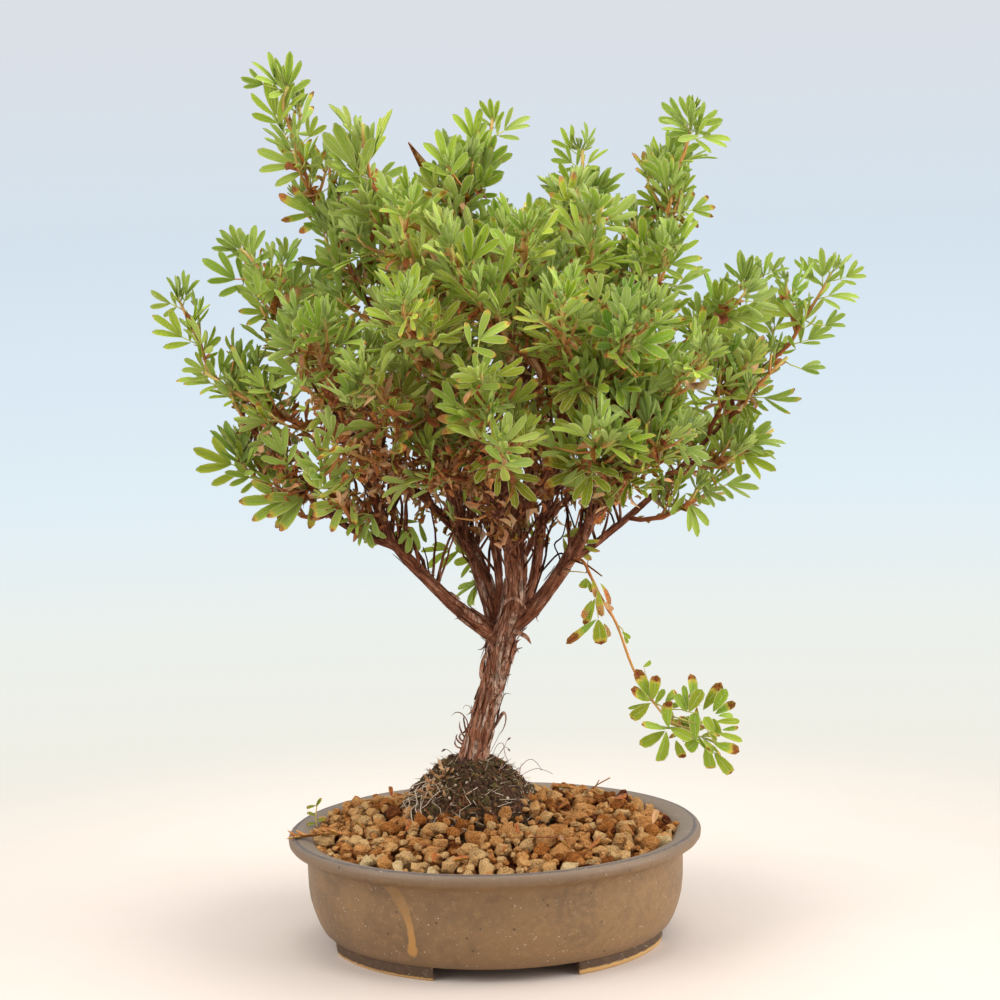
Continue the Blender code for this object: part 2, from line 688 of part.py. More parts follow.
def tuft_shape(stem, tip, along, around):
    """The stem as a bmesh whose end cap is opened out into the tuft of leaflets that ends the shoot."""
    shape = bmesh.new()
    shape.from_mesh(stem.data)
    cap = min(shape.faces, key=lambda face: (face.calc_center_median() - tip).length)
    ring = list(cap.verts)
    bmesh.ops.delete(shape, geom=[cap], context="FACES_ONLY")
    frame = leaf_place(tip, along, around, math.pi / 2)
    inward = frame.inverted()
    ring.sort(key=lambda v: math.atan2((inward @ v.co).y, (inward @ v.co).x))
    start = math.atan2((inward @ ring[0].co).y, (inward @ ring[0].co).x)
    angles = [start + math.tau * i / TUFT_LEAFLETS for i in range(TUFT_LEAFLETS)]
    rises = [TUFT_RISES[i % 2] for i in range(TUFT_LEAFLETS)]
    scales = [TUFT_SCALES[i % 2] for i in range(TUFT_LEAFLETS)]
    rim = fan_rim(shape, Vector((0, 0, 0)), angles, rises, scales, True)
    top = shape.verts.new(Vector((0, 0, LEAF_THICK * 0.7)))
    bmesh.ops.transform(shape, matrix=frame, verts=[*rim, top])
    step = len(LEAFLET_SECTION) * 2 + 1
    owners = [round(i * len(ring) / TUFT_LEAFLETS) % len(ring) for i in range(TUFT_LEAFLETS)]
    for i, (a, b) in enumerate(zip(rim, rim[1:] + rim[:1])):
        leaflet = i // step
        owner = ring[owners[leaflet]]
        shape.faces.new((top, a, b))
        if i % step == step - 1:
            following = ring[owners[(leaflet + 1) % TUFT_LEAFLETS]]
            if following is not owner:
                shape.faces.new((owner, a, following))
            owner = following
        shape.faces.new((owner, b, a))
    bmesh.ops.triangulate(shape, faces=shape.faces)
    bmesh.ops.recalc_face_normals(shape, faces=shape.faces)
    return shape


def leaf_place(point, along, around, lean):
    """The matrix of a leaf that leaves a stem at this point, its upper face towards the stem's tip."""
    side = along.orthogonal().normalized()
    side.rotate(Matrix.Rotation(around, 3, along))
    stalk = (along * math.cos(lean) + side * math.sin(lean)).normalized()
    face = (along - stalk * along.dot(stalk)).normalized()
    across = face.cross(stalk)
    turn = Matrix((stalk, across, face)).transposed().to_4x4()
    return Matrix.Translation(point) @ turn


def grown(shape):
    """A tree of a shape's faces, grown a little about its middle, for clearance tests."""
    middle = sum((v.co for v in shape.verts), Vector()) / len(shape.verts)
    points = [middle + (v.co - middle) * LEAF_MARGIN for v in shape.verts]
    faces = [[v.index for v in face.verts] for face in shape.faces]
    return BVHTree.FromPolygons(points, faces)


def bounds_of(points):
    """Lowest and highest corner of some points."""
    low = [min(p[i] for p in points) for i in range(3)]
    high = [max(p[i] for p in points) for i in range(3)]
    return low, high


class Obstacles:
    """What a new leaf has to stay clear of, as face trees with their boxes."""

    def __init__(self):
        self.rows = []

    def add_object(self, obj, owner):
        """Adds a mesh object."""
        points = [obj.matrix_world @ v.co for v in obj.data.vertices]
        faces = [list(p.vertices) for p in obj.data.polygons]
        self.rows.append((owner, BVHTree.FromPolygons(points, faces), bounds_of(points)))

    def add_shape(self, shape, owner):
        """Adds a bmesh."""
        points = [v.co.copy() for v in shape.verts]
        self.rows.append((owner, BVHTree.FromBMesh(shape), bounds_of(points)))

    def meets(self, shape, skip):
        """Whether the shape crosses anything but what the owner in skip grew."""
        tree = grown(shape)
        low, high = bounds_of([v.co for v in shape.verts])
        for owner, other, (other_low, other_high) in self.rows:
            if owner == skip:
                continue
            if any(low[i] > other_high[i] or high[i] < other_low[i] for i in range(3)):
                continue
            if tree.overlap(other):
                return True
        return False


def clear_leaf(point, along, around, lean, size, obstacles, stem_name):
    """The first leaf near the wanted place that crosses nothing, or None."""
    for shrink in (1.0, 0.85, 0.7):
        for attempt in range(15):
            turn = around + (attempt + 1) // 2 * 0.22 * (-1) ** attempt
            tilt = lean + 0.05 * (attempt % 4)
            shape = leaf_shape(size * shrink, leaf_place(point, along, turn, tilt))
            shape.verts.index_update()
            if not obstacles.meets(shape, stem_name):
                return shape
            shape.free()
    return None


def leaf_rows(route, steps, draw, first):
    """(point, direction, turn, lean, size) of each side leaf, counted back from the shoot's tip."""
    rows = walked(route, [0.0] * len(route), 1.0 * MM)
    rows.reverse()
    made = []
    for i, step in enumerate(steps):
        point, _, along = rows[min(len(rows) - 7, int(step))]
        made.append((point, along, first + i * SPIRAL, draw.uniform(0.7, 1.0), draw.uniform(0.92, 1.1)))
    return made


def side_turn(along, toward):
    """The turn about a stem that sends a leaf the given way."""
    first = along.orthogonal().normalized()
    second = along.cross(first)
    return math.atan2(toward.dot(second), toward.dot(first))


def tufted(stem, route, around, obstacles):
    """Gives a stem its end tuft, turned until it crosses nothing."""
    along = (route[-1] - route[-2]).normalized()
    for attempt in range(16):
        shape = tuft_shape(stem, route[-1], along, around + attempt * 0.4)
        shape.verts.index_update()
        if attempt == 15 or not obstacles.meets(shape, stem.name):
            break
        shape.free()
    obstacles.add_shape(shape, stem.name)
    shape.to_mesh(stem.data)
    shape.free()
    stem.data.update()


def build_shoots(shoots, parts, cutters, obstacles):
    """Every leafy shoot: a three-sided stem with an end tuft, joined to leaves that cross nothing."""
    stems, plans = [], []
    routes = [route for _, _, route in shoots]
    for i, route in enumerate(routes):
        taper = (STEM_TIP_RADIUS - STEM_RADIUS) / (STEM_POINTS - 1)
        radii = [STEM_RADIUS + taper * k for k in range(STEM_POINTS)]
        stems.append(tube(f"leafy_shoot_{i + 1:02d}", route, radii, TWIG_SIDES, parts))
        draw = random.Random(500 + i)
        steps = [step + draw.uniform(0.0, 4.0) for step in LEAF_STEPS]
        plans.append(leaf_rows(route, steps, draw, draw.uniform(0, math.tau)))
    hanging = [Vector(p) * MM for p in HANGING_ROUTE]
    routes.append(hanging)
    stems.append(tube("hanging_shoot", hanging, [0.95 * MM] * len(hanging), TWIG_SIDES, parts))
    rows = walked(hanging, [0.0] * len(hanging), 1.0 * MM)
    rows.reverse()
    plan = []
    for step, toward in HANGING_LEAVES:
        point, _, along = rows[int(step)]
        plan.append((point, along, side_turn(along, Vector(toward)), 0.95, 1.0))
    plans.append(plan)
    for stem in stems:
        obstacles.add_object(stem, stem.name)
    for i, (stem, route) in enumerate(zip(stems, routes)):
        tufted(stem, route, i * SPIRAL, obstacles)
    count = 0
    leaves = {stem.name: [] for stem in stems}
    for level in range(max(len(plan) for plan in plans)):
        for stem, plan in zip(stems, plans):
            if level >= len(plan):
                continue
            point, along, around, lean, size = plan[level]
            shape = clear_leaf(point, along, around, lean, size, obstacles, stem.name)
            if shape is None:
                continue
            obstacles.add_shape(shape, f"leaf_{count}")
            leaves[stem.name].append(object_from_bmesh(f"leaf_{count}", shape, cutters))
            count += 1
    for stem in stems:
        if leaves[stem.name]:
            boolean(stem, "UNION", leaves[stem.name], "MANIFOLD")
        finished(stem, "foliage")
    return stems


def main():
    """Builds every node, then moves the plant so that its outline is centred on the origin."""
    clear_scene()
    parts = collection_named("cinquefoil_bonsai")
    cutters = collection_named("cutters")
    nodes = [
        build_pot(parts, cutters),
        build_drain_net(parts, cutters),
        build_soil(parts, cutters),
        build_root_mound(parts, cutters),
    ]
    shoots = shoot_routes()
    spur_root = Vector(HANGING_SPUR) * MM
    hanging_start = Vector(HANGING_ROUTE[0]) * MM
    spur_end = hanging_start + (spur_root - hanging_start).normalized() * GAP
    trunk = build_trunk([*shoots, (spur_root, spur_end, None)], parts, cutters)
    nodes.append(trunk)
    obstacles = Obstacles()
    obstacles.add_object(trunk, "trunk")
    nodes += build_shoots(shoots, parts, cutters, obstacles)
    for node in nodes:
        node.location += POT_OFFSET


main()
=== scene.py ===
"""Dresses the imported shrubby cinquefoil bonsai: glazed pot, clay granules, root mound, bark and leaves.

Lengths are in millimetres from the middle of the pot's base, with the photograph's camera on the
-Y side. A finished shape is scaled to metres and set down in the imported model's frame at the end.
"""

import logging
import math
import random
from dataclasses import dataclass, field
from enum import Enum
from typing import Callable, Mapping, Optional, Sequence, Union

import bmesh
import bpy
from mathutils import Matrix, Vector, noise
from mathutils.kdtree import KDTree


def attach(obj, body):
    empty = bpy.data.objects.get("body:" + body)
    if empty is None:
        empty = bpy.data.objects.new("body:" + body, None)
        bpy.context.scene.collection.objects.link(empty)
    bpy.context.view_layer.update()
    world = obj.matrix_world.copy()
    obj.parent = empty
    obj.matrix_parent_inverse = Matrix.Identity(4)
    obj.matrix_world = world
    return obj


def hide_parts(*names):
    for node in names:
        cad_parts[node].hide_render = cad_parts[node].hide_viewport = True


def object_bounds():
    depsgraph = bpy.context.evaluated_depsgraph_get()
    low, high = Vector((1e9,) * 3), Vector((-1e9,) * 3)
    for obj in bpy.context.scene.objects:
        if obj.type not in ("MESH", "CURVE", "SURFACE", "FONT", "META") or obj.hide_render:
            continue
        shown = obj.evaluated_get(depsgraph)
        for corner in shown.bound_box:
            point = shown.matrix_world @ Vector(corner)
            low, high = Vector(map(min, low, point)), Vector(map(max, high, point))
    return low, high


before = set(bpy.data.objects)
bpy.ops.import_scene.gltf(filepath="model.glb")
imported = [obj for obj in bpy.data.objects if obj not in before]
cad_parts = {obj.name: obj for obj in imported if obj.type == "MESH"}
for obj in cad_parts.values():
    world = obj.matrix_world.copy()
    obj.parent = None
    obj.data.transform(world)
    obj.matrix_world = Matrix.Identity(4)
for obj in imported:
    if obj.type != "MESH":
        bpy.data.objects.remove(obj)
CAD_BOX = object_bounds()

LOG = logging.getLogger("bonsai")
MM = 0.001
POT_OFFSET = Vector((-11.7, -1.6, 0.0))
OVAL = 156.0 / 170.0
SPIRAL = math.radians(137.5)
UP = Vector((0.0, 0.0, 1.0))

Colour = tuple[float, float, float, float]
Point = tuple[float, float, float]
Key = Union[int, str]


def shade(red: int, green: int, blue: int) -> Colour:
    """A colour picked in screen numbers from 0 to 255, as a shader wants it.

    Args:
        red: Red part.
        green: Green part.
        blue: Blue part.

    Returns:
        The linear colour with a full alpha.
    """
    parts = [value / 255.0 for value in (red, green, blue)]
    linear = [p / 12.92 if p <= 0.04045 else ((p + 0.055) / 1.055) ** 2.4 for p in parts]
    return (linear[0], linear[1], linear[2], 1.0)


# Shader kit


def arithmetic(operation: str, swapped: bool = False) -> Callable[["Signal", "Operand"], "Signal"]:
    """An operator that adds one Math node.

    Args:
        operation: The node's operation.
        swapped: Whether the other value comes first.

    Returns:
        The operator.
    """

    def apply(self: "Signal", other: "Operand") -> "Signal":
        """The signal and another value, combined."""
        return self.maths(operation, other, self) if swapped else self.maths(operation, self, other)

    return apply


class Signal:
    """One output of a shader node. Arithmetic on it adds Math nodes."""

    def __init__(self, sheet: "Sheet", socket: bpy.types.NodeSocket) -> None:
        """Wraps a socket of the sheet's tree."""
        self.sheet = sheet
        self.socket = socket

    def maths(self, operation: str, *values: "Operand") -> "Signal":
        """Adds one Math node on these values.

        Args:
            operation: The Math node's operation.
            *values: Its operands, in order.

        Returns:
            The node's result.
        """
        return self.sheet.node("ShaderNodeMath", {"operation": operation}, dict(enumerate(values)))

    __add__, __radd__ = arithmetic("ADD"), arithmetic("ADD", swapped=True)
    __sub__, __rsub__ = arithmetic("SUBTRACT"), arithmetic("SUBTRACT", swapped=True)
    __mul__, __rmul__ = arithmetic("MULTIPLY"), arithmetic("MULTIPLY", swapped=True)
    __truediv__ = arithmetic("DIVIDE")
    __pow__ = arithmetic("POWER")

    def __abs__(self) -> "Signal":
        """Size without its sign."""
        return self.maths("ABSOLUTE", self)

    def rise(self, low: "Operand", high: "Operand") -> "Signal":
        """A smooth step from 0 at low to 1 at high.

        Args:
            low: Where the step starts.
            high: Where it ends.

        Returns:
            The stepped value.
        """
        settings = {"interpolation_type": "SMOOTHSTEP"}
        return self.sheet.node("ShaderNodeMapRange", settings, {0: self, 1: low, 2: high})


Operand = Union[Signal, int, float]


class Sheet:
    """One procedural material and the few kinds of node that it is written with."""

    def __init__(self, name: str) -> None:
        """Makes an empty material of that name."""
        self.material = bpy.data.materials.new(name)
        self.material.use_nodes = True
        self.tree = self.material.node_tree
        self.tree.nodes.clear()

    def node(
        self,
        kind: str,
        settings: Optional[Mapping[str, object]] = None,
        inputs: Optional[Mapping[Key, object]] = None,
        output: Key = 0,
    ) -> Signal:
        """Adds one node.

        Args:
            kind: The node's type.
            settings: Its settings, set first; "stops" gives a ramp's (position, colour) pairs.
            inputs: Values or links of its sockets, by number or name.
            output: The output wanted, by number or name.

        Returns:
            That output.
        """
        made = self.tree.nodes.new(kind)
        for name, value in (settings or {}).items():
            if name == "stops":
                self._stops(made, value)
            else:
                setattr(made, name, value)
        for name, value in (inputs or {}).items():
            if isinstance(value, Signal):
                self.tree.links.new(value.socket, made.inputs[name])
            else:
                made.inputs[name].default_value = value
        return Signal(self, made.outputs[output])

    @staticmethod
    def _stops(ramp: bpy.types.Node, stops: Sequence[tuple[float, Colour]]) -> None:
        """Sets a ramp's stops."""
        row = ramp.color_ramp.elements
        while len(row) < len(stops):
            row.new(1.0)
        for element, (position, colour) in zip(row, stops):
            element.position = position
            element.color = colour

    def place(self, scale: Sequence[float] = (1.0, 1.0, 1.0)) -> Signal:
        """The point on the piece, in millimetres from the pot's middle, stretched by scale."""
        raw = self.node("ShaderNodeTexCoord", output="Object")
        sockets = {"Vector": raw, "Location": -POT_OFFSET, "Scale": (1 / MM, 1 / MM, 1 / MM)}
        centred = self.node("ShaderNodeMapping", inputs=sockets)
        return self.node("ShaderNodeMapping", inputs={"Vector": centred, "Scale": tuple(scale)})

    def mark(self, name: str) -> Signal:
        """A number that the piece carries on its points."""
        return self.node("ShaderNodeAttribute", {"attribute_name": name}, output="Fac")

    def arrow(self, name: str) -> Signal:
        """A vector that the piece carries on its points."""
        return self.node("ShaderNodeAttribute", {"attribute_name": name}, output="Vector")

    def part(self, vector: Signal, axis: str) -> Signal:
        """One of a vector's X, Y and Z parts."""
        return self.node("ShaderNodeSeparateXYZ", inputs={0: vector}, output=axis)

    def stretched(self, vector: Signal, scale: Sequence[float]) -> Signal:
        """A vector multiplied part by part."""
        return self.node("ShaderNodeVectorMath", {"operation": "MULTIPLY"}, {0: vector, 1: tuple(scale)})

    def cloud(self, vector: Signal, scale: float, detail: float = 3.0, rough: float = 0.55) -> Signal:
        """Fractal noise from 0 to 1.

        Args:
            vector: Where it is read.
            scale: Patches to a unit.
            detail: Octaves.
            rough: Share that each octave keeps.

        Returns:
            The noise.
        """
        sockets = {"Vector": vector, "Scale": scale, "Detail": detail, "Roughness": rough}
        return self.node("ShaderNodeTexNoise", inputs=sockets, output="Fac")

    def cells(self, vector: Signal, scale: float) -> Signal:
        """Distance to the nearest of scattered points."""
        inputs = {"Vector": vector, "Scale": scale}
        return self.node("ShaderNodeTexVoronoi", inputs=inputs, output="Distance")

    def specks(
        self,
        vector: Signal,
        scale: float,
        size: tuple[float, float],
        patch: float,
        bare: tuple[float, float],
        detail: float = 1.0,
    ) -> Signal:
        """Small round specks that come in patches.

        Args:
            vector: Where they are read.
            scale: Specks to a unit.
            size: Where a speck starts to fade and where it ends.
            patch: Patches to a unit.
            bare: The noise below which there are none, and above which there are all.
            detail: The patches' octaves.

        Returns:
            1 on a speck, 0 off it.
        """
        return (1.0 - self.cells(vector, scale).rise(*size)) * self.cloud(vector, patch, detail).rise(*bare)

    def mix(self, first: object, second: object, share: Operand, blend: str = "MIX") -> Signal:
        """Two colours mixed.

        Args:
            first: The colour at share 0.
            second: The colour at share 1.
            share: How much of the second.
            blend: How they combine.

        Returns:
            The mixed colour.
        """
        settings = {"data_type": "RGBA", "blend_type": blend}
        return self.node("ShaderNodeMix", settings, {0: share, 6: first, 7: second}, 2)

    def ramp(self, value: Signal, stops: Sequence[tuple[float, Colour]]) -> Signal:
        """A value turned into a colour by stops."""
        return self.node("ShaderNodeValToRGB", {"stops": stops}, {0: value}, "Color")

    def bump(self, height: Signal, depth: float, strength: float = 1.0) -> Signal:
        """A normal from a height of 0 to 1 that stands for depth in millimetres."""
        sockets = {"Height": height, "Distance": depth * MM, "Strength": strength}
        return self.node("ShaderNodeBump", inputs=sockets)

    def finish(
        self,
        colour: Signal,
        roughness: Operand,
        normal: Optional[Signal] = None,
        constants: Optional[Mapping[str, object]] = None,
    ) -> bpy.types.Material:
        """Ends the material in one Principled shader.

        Args:
            colour: Base colour.
            roughness: Roughness.
            normal: Normal from a bump.
            constants: Other sockets of the shader that are the same all over.

        Returns:
            The material.
        """
        sockets: dict[Key, object] = {"Base Color": colour, "Roughness": roughness, **(constants or {})}
        if normal is not None:
            sockets["Normal"] = normal
        self.end("ShaderNodeOutputMaterial", self.node("ShaderNodeBsdfPrincipled", inputs=sockets))
        return self.material

    def end(self, kind: str, shader: Signal) -> None:
        """Links a shader to the surface of an output node of that kind."""
        self.tree.links.new(shader.socket, self.tree.nodes.new(kind).inputs["Surface"])


# Finishes


@dataclass(frozen=True)
class GlazeFinish:
    """Brown-olive stoneware glaze, grey and bluish where it pools on the lip, bare under the feet."""

    body: Colour = shade(138, 107, 72)
    cloudy: Colour = shade(118, 92, 64)
    warm: Colour = shade(157, 122, 81)
    ledge: Colour = shade(134, 120, 104)
    golden: Colour = shade(140, 124, 104)
    line: Colour = shade(82, 76, 80)
    # Greyer, darker colour of the lip's outer face: its glaze tint with painted shade
    lip_tint_and_shade: Colour = shade(126, 104, 84)
    foot: Colour = shade(86, 66, 50)
    clay: Colour = shade(206, 164, 104)
    drip: Colour = shade(188, 138, 74)
    pit: Colour = shade(70, 52, 40)
    fleck: Colour = shade(236, 226, 206)

    def drip_share(self, sheet: Sheet, place: Signal) -> Signal:
        """Where the ochre run of glaze lies on the left of the pot's front.

        Args:
            sheet: The material.
            place: The point on the pot.

        Returns:
            1 on the run, 0 off it.
        """
        across = sheet.part(place, "X")
        depth = sheet.part(place, "Y")
        height = sheet.part(place, "Z")
        left = sheet.node("ShaderNodeMath", {"operation": "MAXIMUM"}, {0: (height - 13.3) / 26.6, 1: 0.0})
        middle = -32.6 - 9.0 * left**2.6
        wander = (sheet.cloud(place, 0.25, 1.0) - 0.5) * 1.4
        half = 1.5 + 0.7 * height.rise(19.0, 12.5) + 1.6 * height.rise(24.0, 37.0)
        beside = abs(across - middle + wander) / half
        below = ((13.0 - height) / 2.6).maths("MAXIMUM", (13.0 - height) / 2.6, 0.0)
        near = (beside * beside + below * below) ** 0.5
        front = depth.rise(-40.0, -50.0)
        run = (1.0 - near.rise(0.6, 1.15)) * front * (0.3 + 0.6 * height.rise(34.0, 16.0))
        return run * height.rise(40.5, 38.0)

    def made(self) -> bpy.types.Material:
        """The glaze as a material."""
        sheet = Sheet("pot_glaze")
        place = sheet.place()
        tone = sheet.mark("tone")
        bare = sheet.mark("bare")
        height = sheet.part(place, "Z")
        across = sheet.part(place, "X")
        clouds = sheet.cloud(place, 0.045, 4.0, 0.6)
        mottle = sheet.cloud(place, 0.35, 4.0, 0.65)
        grain = sheet.cloud(place, 2.2, 3.0, 0.7)
        body = sheet.mix(self.cloudy, self.body, clouds.rise(0.34, 0.58))
        # Lighter, warmer patches towards the right side: painted light from that side
        body = sheet.mix(body, self.warm, across.rise(-30.0, 60.0) * 0.4 * mottle.rise(0.3, 0.6))
        body = sheet.mix(body, self.warm, mottle.rise(0.5, 0.72) * 0.6)
        body = sheet.mix(body, self.cloudy, (1.0 - grain.rise(0.3, 0.55)) * 0.45)
        body = sheet.mix(body, self.cloudy, height.rise(13.0, 5.5) * 0.4)
        ledge = sheet.mix(self.ledge, self.golden, (across + mottle * 60.0).rise(10.0, 80.0) * 0.85)
        ledge = sheet.mix(ledge, self.body, mottle.rise(0.55, 0.8) * 0.4)
        skin = sheet.mix(body, ledge, (tone + (mottle - 0.5) * 0.3).rise(0.15, 0.5))
        skin = sheet.mix(skin, self.line, (tone + (mottle - 0.5) * 0.5).rise(0.68, 0.95) * 0.8)
        # Lip's outer face greyed and darkened: glaze tint with painted shade
        skin = sheet.mix(skin, self.lip_tint_and_shade, sheet.mark("lip_tint_and_shade") * (0.6 + 0.4 * mottle))
        run = self.drip_share(sheet, place)
        skin = sheet.mix(skin, self.drip, run * (0.7 + 0.5 * grain))
        foot = sheet.mix(self.foot, self.cloudy, mottle.rise(0.4, 0.75) * 0.5)
        edge = 1.0 - (height - across.rise(0.0, 40.0) * 1.0 + (mottle - 0.5) * 1.6).rise(0.7, 1.5)
        foot = sheet.mix(foot, self.clay, edge)
        skin = sheet.mix(skin, foot, bare)
        pits = sheet.specks(place, 0.3, (0.1, 0.2), 0.16, (0.55, 0.62))
        fine = sheet.specks(place, 0.9, (0.1, 0.22), 0.2, (0.52, 0.58), 2.0)
        streak = sheet.cells(sheet.stretched(place, (0.16, 0.16, 0.4)), 1.0).rise(0.04, 0.1)
        pits = pits + fine * 0.5 + (1.0 - streak) * sheet.cloud(place, 0.09, 1.0).rise(0.56, 0.6)
        dots = sheet.specks(place, 0.42, (0.06, 0.12), 0.11, (0.5, 0.56))
        tiny = sheet.specks(place, 1.1, (0.1, 0.2), 0.3, (0.56, 0.62))
        skin = sheet.mix(skin, self.pit, pits * 0.75)
        skin = sheet.mix(skin, self.fleck, dots * 0.85 + tiny * 0.5)
        height_map = mottle * 0.5 + grain * 0.35 - pits * 0.6 + run * 0.4
        gloss = 0.48 - 0.1 * tone + 0.2 * (grain - 0.5) + 0.3 * bare
        return sheet.finish(skin, gloss, sheet.bump(height_map, 0.4, 0.6), {"Specular IOR Level": 0.35})


@dataclass(frozen=True)
class GranuleFinish:
    """Baked clay granules, moist brown to pale tan, each with its own tint and rough pores, with painted
    shade in their pits.
    """

    # Darkest clay: moist clay, and painted shade in pits, between granules and on the base
    damp_and_shade: Colour = shade(90, 28, 0)
    brown: Colour = shade(198, 120, 50)
    ochre: Colour = shade(250, 180, 106)
    pale: Colour = shade(255, 207, 140)
    stone: Colour = shade(255, 220, 168)
    dust: Colour = shade(255, 212, 150)
    olive: Colour = shade(150, 122, 50)
    mineral: Colour = shade(226, 190, 108)

    def made(self) -> bpy.types.Material:
        """The granules as a material."""
        sheet = Sheet("clay_granules")
        place = sheet.place()
        tint = sheet.mark("tint")
        grain = sheet.cloud(place, 0.9, 6.0, 0.75)
        fine = sheet.cloud(place, 2.8, 4.0, 0.75)
        patch = sheet.cloud(place, 0.25, 2.0)
        crumbs = sheet.cells(place, 1.3)
        level = tint + (grain - 0.5) * 0.75 + (patch - 0.5) * 0.3
        stops = [(0.04, self.damp_and_shade), (0.32, self.brown), (0.6, self.ochre), (0.88, self.pale)]
        clay = sheet.ramp(level, stops)
        # Darker in the low spots of the bump: painted shade in the pits
        clay = sheet.mix(clay, self.damp_and_shade, (1.0 - fine.rise(0.3, 0.44)) * 0.65)
        clay = sheet.mix(clay, self.damp_and_shade, crumbs.rise(0.5, 0.8) * 0.3)
        clay = sheet.mix(clay, self.dust, fine.rise(0.56, 0.68) * 0.6)
        clay = sheet.mix(clay, self.olive, patch.rise(0.6, 0.7) * grain.rise(0.5, 0.6) * 0.4)
        mineral = sheet.mix(self.stone, self.mineral, grain.rise(0.44, 0.62) * 0.8)
        clay = sheet.mix(clay, mineral, sheet.mark("stone"))
        relief = grain * 1.0 + fine * 0.6 - crumbs * 0.7
        rough = 0.85 + 0.12 * grain
        return sheet.finish(clay, rough, sheet.bump(relief, 1.7, 1.0), {"Specular IOR Level": 0.15})


@dataclass(frozen=True)
class MossFinish:
    """Dark soil knitted with moss and fine roots."""

    soil: Colour = shade(60, 34, 18)
    crumb: Colour = shade(146, 102, 68)
    moss: Colour = shade(92, 92, 34)
    straw: Colour = shade(250, 228, 198)
    dry: Colour = shade(150, 92, 52)

    def made(self) -> bpy.types.Material:
        """The root mound as a material."""
        sheet = Sheet("mossy_soil")
        place = sheet.place()
        straw = sheet.mark("tint")
        grain = sheet.cloud(place, 0.8, 5.0, 0.7)
        patch = sheet.cloud(place, 0.16, 3.0, 0.6)
        fine = sheet.cloud(place, 3.0, 3.0, 0.7)
        soil = sheet.mix(self.soil, self.crumb, grain.rise(0.45, 0.72))
        soil = sheet.mix(soil, self.moss, patch.rise(0.5, 0.66) * fine.rise(0.4, 0.6) * 0.8)
        soil = sheet.mix(soil, self.straw, fine.rise(0.68, 0.78) * 0.5)
        green = sheet.mix(self.moss, self.crumb, grain.rise(0.4, 0.6) * 0.7)
        skin = sheet.mix(soil, green, straw.rise(0.1, 0.2))
        skin = sheet.mix(skin, self.dry, straw.rise(0.35, 0.45))
        root = sheet.mix(self.straw, self.crumb, grain.rise(0.5, 0.7) * 0.35)
        skin = sheet.mix(skin, root, straw.rise(0.6, 0.7))
        return sheet.finish(skin, 0.9 + 0.08 * grain, sheet.bump(grain + fine * 0.6, 1.2, 0.9))


@dataclass(frozen=True)
class BarkFinish:
    """Red-brown bark that peels in long fibrous strips, with grey-pink papery scraps."""

    crack: Colour = shade(66, 28, 14)
    brown: Colour = shade(148, 84, 54)
    rust: Colour = shade(198, 130, 96)
    paper: Colour = shade(240, 206, 180)

    def made(self) -> bpy.types.Material:
        """The bark as a material."""
        sheet = Sheet("peeling_bark")
        grain = sheet.arrow("grain")
        place = sheet.place()
        strips = sheet.cloud(sheet.stretched(grain, (0.8, 0.8, 0.1)), 1.0, 5.0, 0.7)
        fibres = sheet.cloud(sheet.stretched(grain, (3.0, 3.0, 0.28)), 1.0, 4.0, 0.75)
        plates = sheet.cells(sheet.stretched(grain, (0.75, 0.75, 0.14)), 1.0)
        patch = sheet.cloud(place, 0.13, 3.0, 0.6)
        level = strips * 0.6 + fibres * 0.55 + (patch - 0.5) * 0.4 + sheet.mark("tint") * 0.25
        level = level + (sheet.mark("papery") - 0.62) * 0.16
        stops = [(0.34, self.crack), (0.5, self.brown), (0.64, self.rust), (0.86, self.paper)]
        skin = sheet.ramp(level, stops)
        scraps = fibres.rise(0.54, 0.66) * patch.rise(0.42, 0.6) * sheet.mark("papery")
        skin = sheet.mix(skin, self.paper, scraps * 0.8)
        skin = sheet.mix(skin, self.crack, (1.0 - fibres.rise(0.34, 0.48)) * 0.7)
        skin = sheet.mix(skin, self.crack, plates.rise(0.5, 0.75) * 0.6)
        relief = strips * 0.8 + fibres * 0.7 - plates.rise(0.4, 0.8) * 0.6
        rough = 0.8 + 0.15 * fibres
        return sheet.finish(skin, rough, sheet.bump(relief, 1.6, 1.0), {"Specular IOR Level": 0.25})


